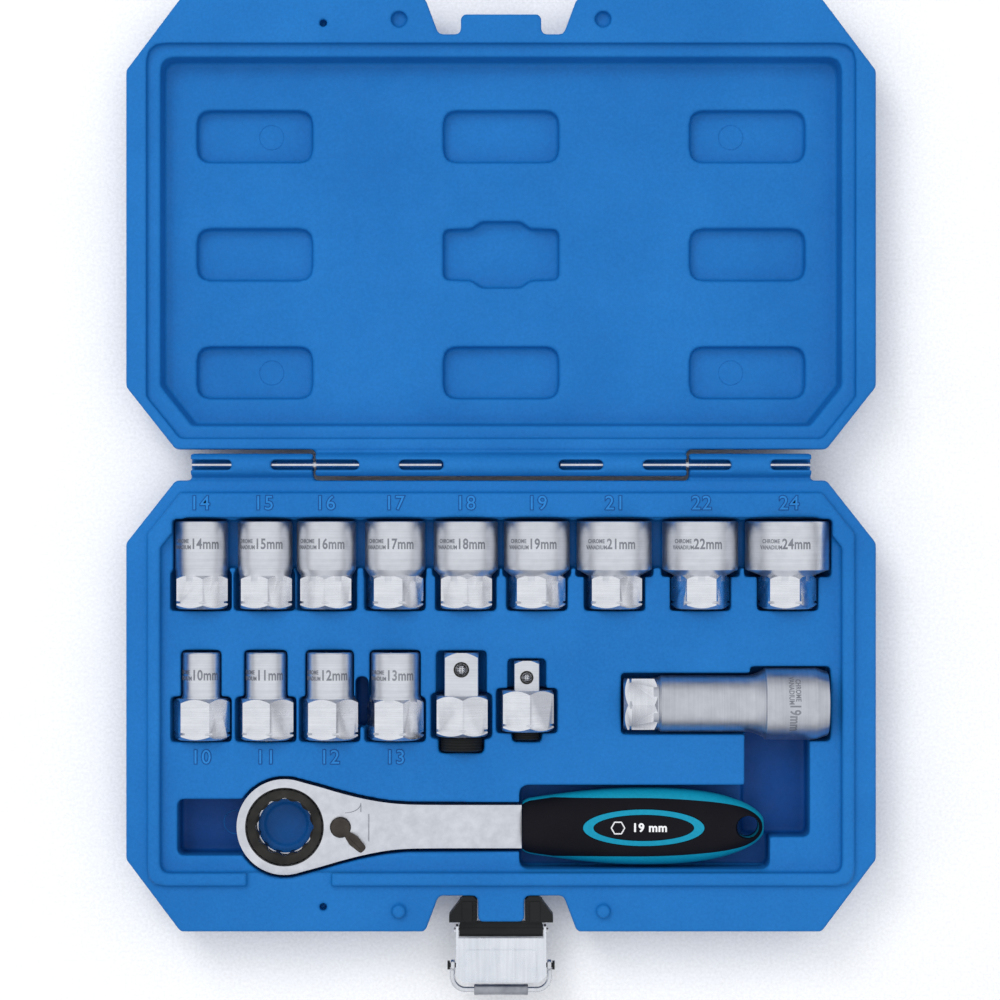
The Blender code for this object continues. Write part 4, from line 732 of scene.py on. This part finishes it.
# ---- grip
GRIP_START, GRIP_LENGTH, WIDEST = 89 * MM, 91.3 * MM, 45 * MM


def grip_size(along):
    if along < WIDEST:
        swell = math.sin(math.pi / 2 * along / WIDEST)
        return 10.1 * MM + 4.4 * MM * swell, 7.4 * MM + 1.4 * MM * swell
    back = (along - WIDEST) / (GRIP_LENGTH - WIDEST)
    return 14.5 * MM * math.sqrt(max(0.0, 1 - back ** 2.4)), 8.8 * MM * (1 - 0.22 * back ** 3)


def grip_form(name, swell=0.0, sides=72):
    """The grip lofted through elliptic sections, its nose rounded off to an edge."""
    shares = [0.0, 0.004, 0.012, 0.03] + [0.06 + 0.034 * n for n in range(24)]
    shares += [0.9, 0.925, 0.945, 0.96, 0.972, 0.982, 0.99]
    points, faces = [], []
    for share in shares:
        along = GRIP_LENGTH * share
        wide, thick = grip_size(along)
        pinch = 1 - 0.09 * max(0.0, 1 - share / 0.03) ** 2
        tail = 1 - 0.75 * max(0.0, (share - 0.93) / 0.07) ** 2
        for n in range(sides):
            a = 2 * math.pi * n / sides
            points.append((GRIP_START + along, (wide * pinch + swell) * math.cos(a),
                           (thick * pinch * tail + swell) * math.sin(a)))
    for k in range(len(shares) - 1):
        for n in range(sides):
            m = (n + 1) % sides
            faces.append([sides * k + n, sides * k + m, sides * (k + 1) + m, sides * (k + 1) + n])
    faces += [list(range(sides)), list(range(len(points) - sides, len(points)))]
    return from_mesh(name, points, faces)


def oval(length, width, centre=134.2 * MM):
    return ring(length, 96, 0, (centre, 0), width / length)


HOLE_AT = 173.4 * MM
cover = flowing([(-0.5, 10.6), (4, 11), (12, 11), (22, 10.9), (35, 10.9), (46, 10.9), (56, 10.6), (65, 10),
                 (73, 9.2), (79.5, 8.1), (84, 6.7), (87.5, 4.6), (89.4, 2.2), (89.9, 0)], 5)
cover = [(GRIP_START + x * MM, y * MM) for x, y in cover]
black_plan = cover + [(x, -y) for x, y in reversed(cover[:-1])]


def hanging_hole():
    hole = lathe("hanging_hole", mm((0, 12), (6, 12), (4.75, 7.6), (4.2, 6.2), (4.2, -6.2), (4.75, -7.6),
                                    (6, -12), (0, -12)), 64)
    return turned(hole, Matrix.Translation((HOLE_AT, 0, 0)))


def tang_room():
    room = rectangle(GRIP_START - MM, GRIP_START + 60 * MM, -6.4 * MM, 6.4 * MM)
    return prism("tang_room", room, -3.4 * MM, 3.4 * MM)


def grip_top(x, y, lift):
    """Height of the grip's upper face, raised by lift, at a place on it."""
    wide, thick = grip_size(x - GRIP_START)
    return (thick + lift) * math.sqrt(1 - (y / (wide + 0.12 * MM)) ** 2)


teal = grip_form("grip_core_sides")
combine(teal, "DIFFERENCE", prism("cover_top", black_plan, 3 * MM, 12 * MM),
        prism("cover_low", black_plan, -12 * MM, -3 * MM), hanging_hole(), tang_room())
teal.matrix_world = HUB
show(teal, TEAL, "wrench", "grip_teal", "grip_core", angle=40)
for label, low, high in (("top", 3.1 * MM, 12 * MM), ("bottom", -12 * MM, -3.1 * MM)):
    panel = grip_form(f"grip_cover_{label}", 0.12 * MM)
    combine(panel, "INTERSECT", prism("cover", black_plan, low, high))
    combine(panel, "DIFFERENCE", hanging_hole(), tang_room())
    if label == "top":
        groove = prism("groove", oval(22.8 * MM, 7 * MM), 6.6 * MM, 12 * MM)
        combine(groove, "DIFFERENCE", prism("island", oval(18.6 * MM, 4.7 * MM), 0, 14 * MM))
        combine(panel, "DIFFERENCE", groove)
    panel.matrix_world = HUB
    show(panel, SOFT, "wrench", "grip_black", f"grip_panel_{label}", angle=40)
inlay = grip_form("grip_inlay_band", 0.2 * MM)
combine(inlay, "INTERSECT", prism("band", oval(22.6 * MM, 6.8 * MM), 6.7 * MM, 12 * MM))
combine(inlay, "DIFFERENCE", prism("inside", oval(18.8 * MM, 4.9 * MM), 0, 14 * MM))
inlay.matrix_world = HUB
show(inlay, TEAL, "wrench", "grip_teal", "grip_inlay", angle=40)
PRINT_AT, NUT_AT, NUT_RADIUS = 136.4 * MM, 124.6 * MM, 2.5 * MM
plaque = letters("grip_print", "19 mm", 4.4 * MM, 0.08 * MM, 0.14 * MM, 1.08, 1, 0.5 * MM)
for vertex in plaque.data.vertices:
    x, y = vertex.co.x + PRINT_AT, vertex.co.y
    vertex.co = (x, y, grip_top(x, y, 0.16 * MM) + vertex.co.z)
plaque.matrix_world = HUB
show(plaque, WHITE, "wrench", "grip_black")
badge = ring(NUT_RADIUS, 6, 0, (NUT_AT, 0))
badge.append(badge[0])
rise = []
for (x0, y0), (x1, y1) in zip(badge, badge[1:]):
    for k in range(6):
        x, y = x0 + (x1 - x0) * k / 6, y0 + (y1 - y0) * k / 6
        rise.append((x, y, grip_top(x, y, 0.12 * MM)))
nut = wire("grip_print_hexagon", rise, 0.26 * MM, True, 2)
nut.matrix_world = HUB
show(nut, WHITE, "wrench", "grip_black")

# ---- latch
LATCH = Matrix.Translation((0, -84.4 * MM, 18.1 * MM))
LEVER = 16.9 * MM
sheet = [(-14.4 * MM, -19.4 * MM), (14.4 * MM, -19.4 * MM), (LEVER, -16.9 * MM), (LEVER, -2.75 * MM),
         (-LEVER, -2.75 * MM), (-LEVER, -16.9 * MM)]
plate = prism("latch_lever_plate", rounded(sheet, 0.9 * MM, 4), 1.05 * MM, 2 * MM)
cheek = [(-16.8 * MM, 1.9 * MM), (-16.8 * MM, -1.3 * MM), (-14 * MM, -2.8 * MM), (-3.4 * MM, -2.8 * MM),
         (0, -2.3 * MM), (1.6 * MM, -1.6 * MM), (2.3 * MM, 0), (1.6 * MM, 1.5 * MM), (0, 1.9 * MM)]
for sign in (-1, 1):
    combine(plate, "UNION", along_x("cheek", cheek, *sorted((sign * LEVER, sign * (LEVER - 0.9 * MM)))))
bevelled(plate, 0.4 * MM, 3, 50)
pad = rounded(rectangle(-14.1 * MM, 14.1 * MM, -19 * MM, -6.3 * MM), 1.6 * MM, 6)
combine(plate, "DIFFERENCE", prism("pad", pad, 1.4 * MM, 3 * MM))
rise = rounded(rectangle(-13.2 * MM, 13.2 * MM, -18.1 * MM, -7.2 * MM), 1.3 * MM, 6)
combine(plate, "UNION", bevelled(prism("rise", rise, 1.2 * MM, 1.95 * MM), 0.2 * MM, 2, 50))
combine(plate, "DIFFERENCE", along_x("pin_hole", ring(1.2 * MM, 24), -20 * MM, 20 * MM),
        along_x("rivet_hole", ring(1.2 * MM, 24, 0, (-13.2 * MM, -0.8 * MM)), -20 * MM, 20 * MM))
plate.matrix_world = LATCH
show(plate, PLATED, "latch_lever", "bright_steel", "latch_lever", angle=35)

BAIL = Matrix.Translation((0, -97.6 * MM, 17.3 * MM))
path = []
for sign in (-1, 1):
    leg = [(sign * 18.3 * MM, -1.2 * MM, 0), (sign * 18.3 * MM, -4.2 * MM, 0)]
    for n in range(1, 13):
        a = math.pi / 2 * n / 12
        leg.append((sign * (13.3 + 5 * math.cos(a)) * MM, -(4.2 + 5 * math.sin(a)) * MM, 0))
    path += leg if sign < 0 else leg[::-1]
bail = wire("latch_bail_wire", path, 1.1 * MM, False, 5)
for sign in (-1, 1):
    x0, x1 = sorted((sign * 17.3 * MM, sign * 18.9 * MM))
    combine(bail, "UNION", bevelled(along_x("eye", ring(2.2 * MM, 40, 0.03), x0, x1), 0.35 * MM, 2, 40))
combine(bail, "DIFFERENCE", along_x("eye_hole", ring(1.2 * MM, 24), -25 * MM, 25 * MM))
bail.matrix_world = BAIL
show(bail, BRIGHT, "latch_bail", "bright_steel", "latch_bail", angle=40)
sleeve = lathe("latch_sleeve_roll", [(1.4 * MM, 10.1 * MM), (1.9 * MM, 10.1 * MM), (2.1 * MM, 9.8 * MM),
               (2.1 * MM, 8.6 * MM), (2.02 * MM, 8.4 * MM), (2.02 * MM, -8.4 * MM), (2.1 * MM, -8.6 * MM),
               (2.1 * MM, -9.8 * MM), (1.9 * MM, -10.1 * MM), (1.4 * MM, -10.1 * MM)], 48, True)
sleeve.matrix_world = BAIL @ Matrix.Translation((0, -9.2 * MM, 0)) @ Matrix.Rotation(QUARTER, 4, "Y")
show(sleeve, SLEEVED, "latch_bail", "bright_steel", "latch_sleeve", angle=35)
ribs = []
for sign in (-1, 1):
    side = "right" if sign > 0 else "left"
    x0, x1 = sorted((sign * 10.7 * MM, sign * 14.6 * MM))
    slab = rounded(rectangle(x0, x1, -80.6 * MM, -73 * MM), 0.4 * MM, 3)
    slab = bevelled(prism(f"latch_slab_{side}", slab, 22.5 * MM, 23.5 * MM), 0.2 * MM, 2, 40)
    show(slab, BLACK, "case_base", "black_plastic", angle=40)
    for n in range(5):
        x, y = sign * 9.95 * MM, (-73.4 - 1.65 * n) * MM
        rib = rectangle(x - 0.5 * MM, x + 0.5 * MM, y - 0.4 * MM, y + 0.4 * MM)
        rib = bevelled(prism(f"latch_rib_{n}_{side}", rib, 22.5 * MM, 23.6 * MM), 0.15 * MM, 2, 40)
        show(rib, BLACK, "case_base", "black_plastic", angle=40)

# ---- CAD nodes that stay, with their looks and soft edges
STAY = {
    "hinge_pin_left": (BRIGHT, 0.2), "hinge_pin_right": (BRIGHT, 0.2), "latch_bracket": (BLACK, 0.3),
    "latch_pin": (BRIGHT, 0.15), "latch_rivet_left": (BLACK, 0.2), "latch_rivet_right": (BLACK, 0.2),
    "half_inch_ball": (BRIGHT, 0), "half_inch_spring": (BRIGHT, 0), "three_eighths_ball": (BRIGHT, 0),
    "three_eighths_spring": (BRIGHT, 0), "ring_circlip": (OXIDE, 0.1), "pawl": (OXIDE, 0.15),
    "pawl_plunger": (BRIGHT, 0), "pawl_spring": (BRIGHT, 0),
}
for name, (look, shade_outline) in STAY.items():
    node = nodes[name]
    if node.material_slots:
        for one in node.material_slots:
            one.material = look.material
    else:
        node.data.materials.append(look.material)
    if shade_outline:
        step = node.modifiers.new("edges", "BEVEL")
        step.width, step.segments, step.limit_method = shade_outline * MM, 2, "ANGLE"
        step.angle_limit = math.radians(40)

# ---- floor and light
floor = prism("floor", rectangle(-4, 4, -4, 4), -0.02, 0)
paper = moulded_plastic("floor_paper", (0.86, 0.86, 0.86), (0.9, 0.9, 0.9), 0.7, 0.02, 0.02)
floor.data.materials.append(paper.material)

world = bpy.data.worlds.new("studio")
scene.world = world
world.use_nodes = True
sky = world.node_tree
direction = sky.nodes.new("ShaderNodeTexCoord")
heading = sky.nodes.new("ShaderNodeSeparateXYZ")
dome = sky.nodes.new("ShaderNodeValToRGB")
dome.color_ramp.elements[0].position, dome.color_ramp.elements[0].color = 0.02, (0.16, 0.17, 0.2, 1)
dome.color_ramp.elements[1].position, dome.color_ramp.elements[1].color = 0.5, (0.82, 0.84, 0.88, 1)
middle = dome.color_ramp.elements.new(0.26)
middle.color = (0.5, 0.51, 0.55, 1)
sky.links.new(direction.outputs["Generated"], heading.inputs["Vector"])
sky.links.new(heading.outputs["Z"], dome.inputs["Fac"])
sky.links.new(dome.outputs["Color"], sky.nodes["Background"].inputs["Color"])
sky.nodes["Background"].inputs["Strength"].default_value = 1.0


def softbox(name, place, size, power, gloss):
    lamp = bpy.data.lights.new(name, "AREA")
    lamp.shape, lamp.size, lamp.energy = "SQUARE", size, power
    thing = bpy.data.objects.new(name, lamp)
    thing.location = place
    thing.rotation_euler = (Vector((0, 0.08, 0)) - Vector(place)).to_track_quat("-Z", "Y").to_euler()
    thing.visible_glossy = gloss
    scene.collection.objects.link(thing)


softbox("overhead", (0, 0.08, 1.9), 1.8, 12, False)
softbox("key", (-0.6, 0.9, 1.3), 0.6, 7, False)
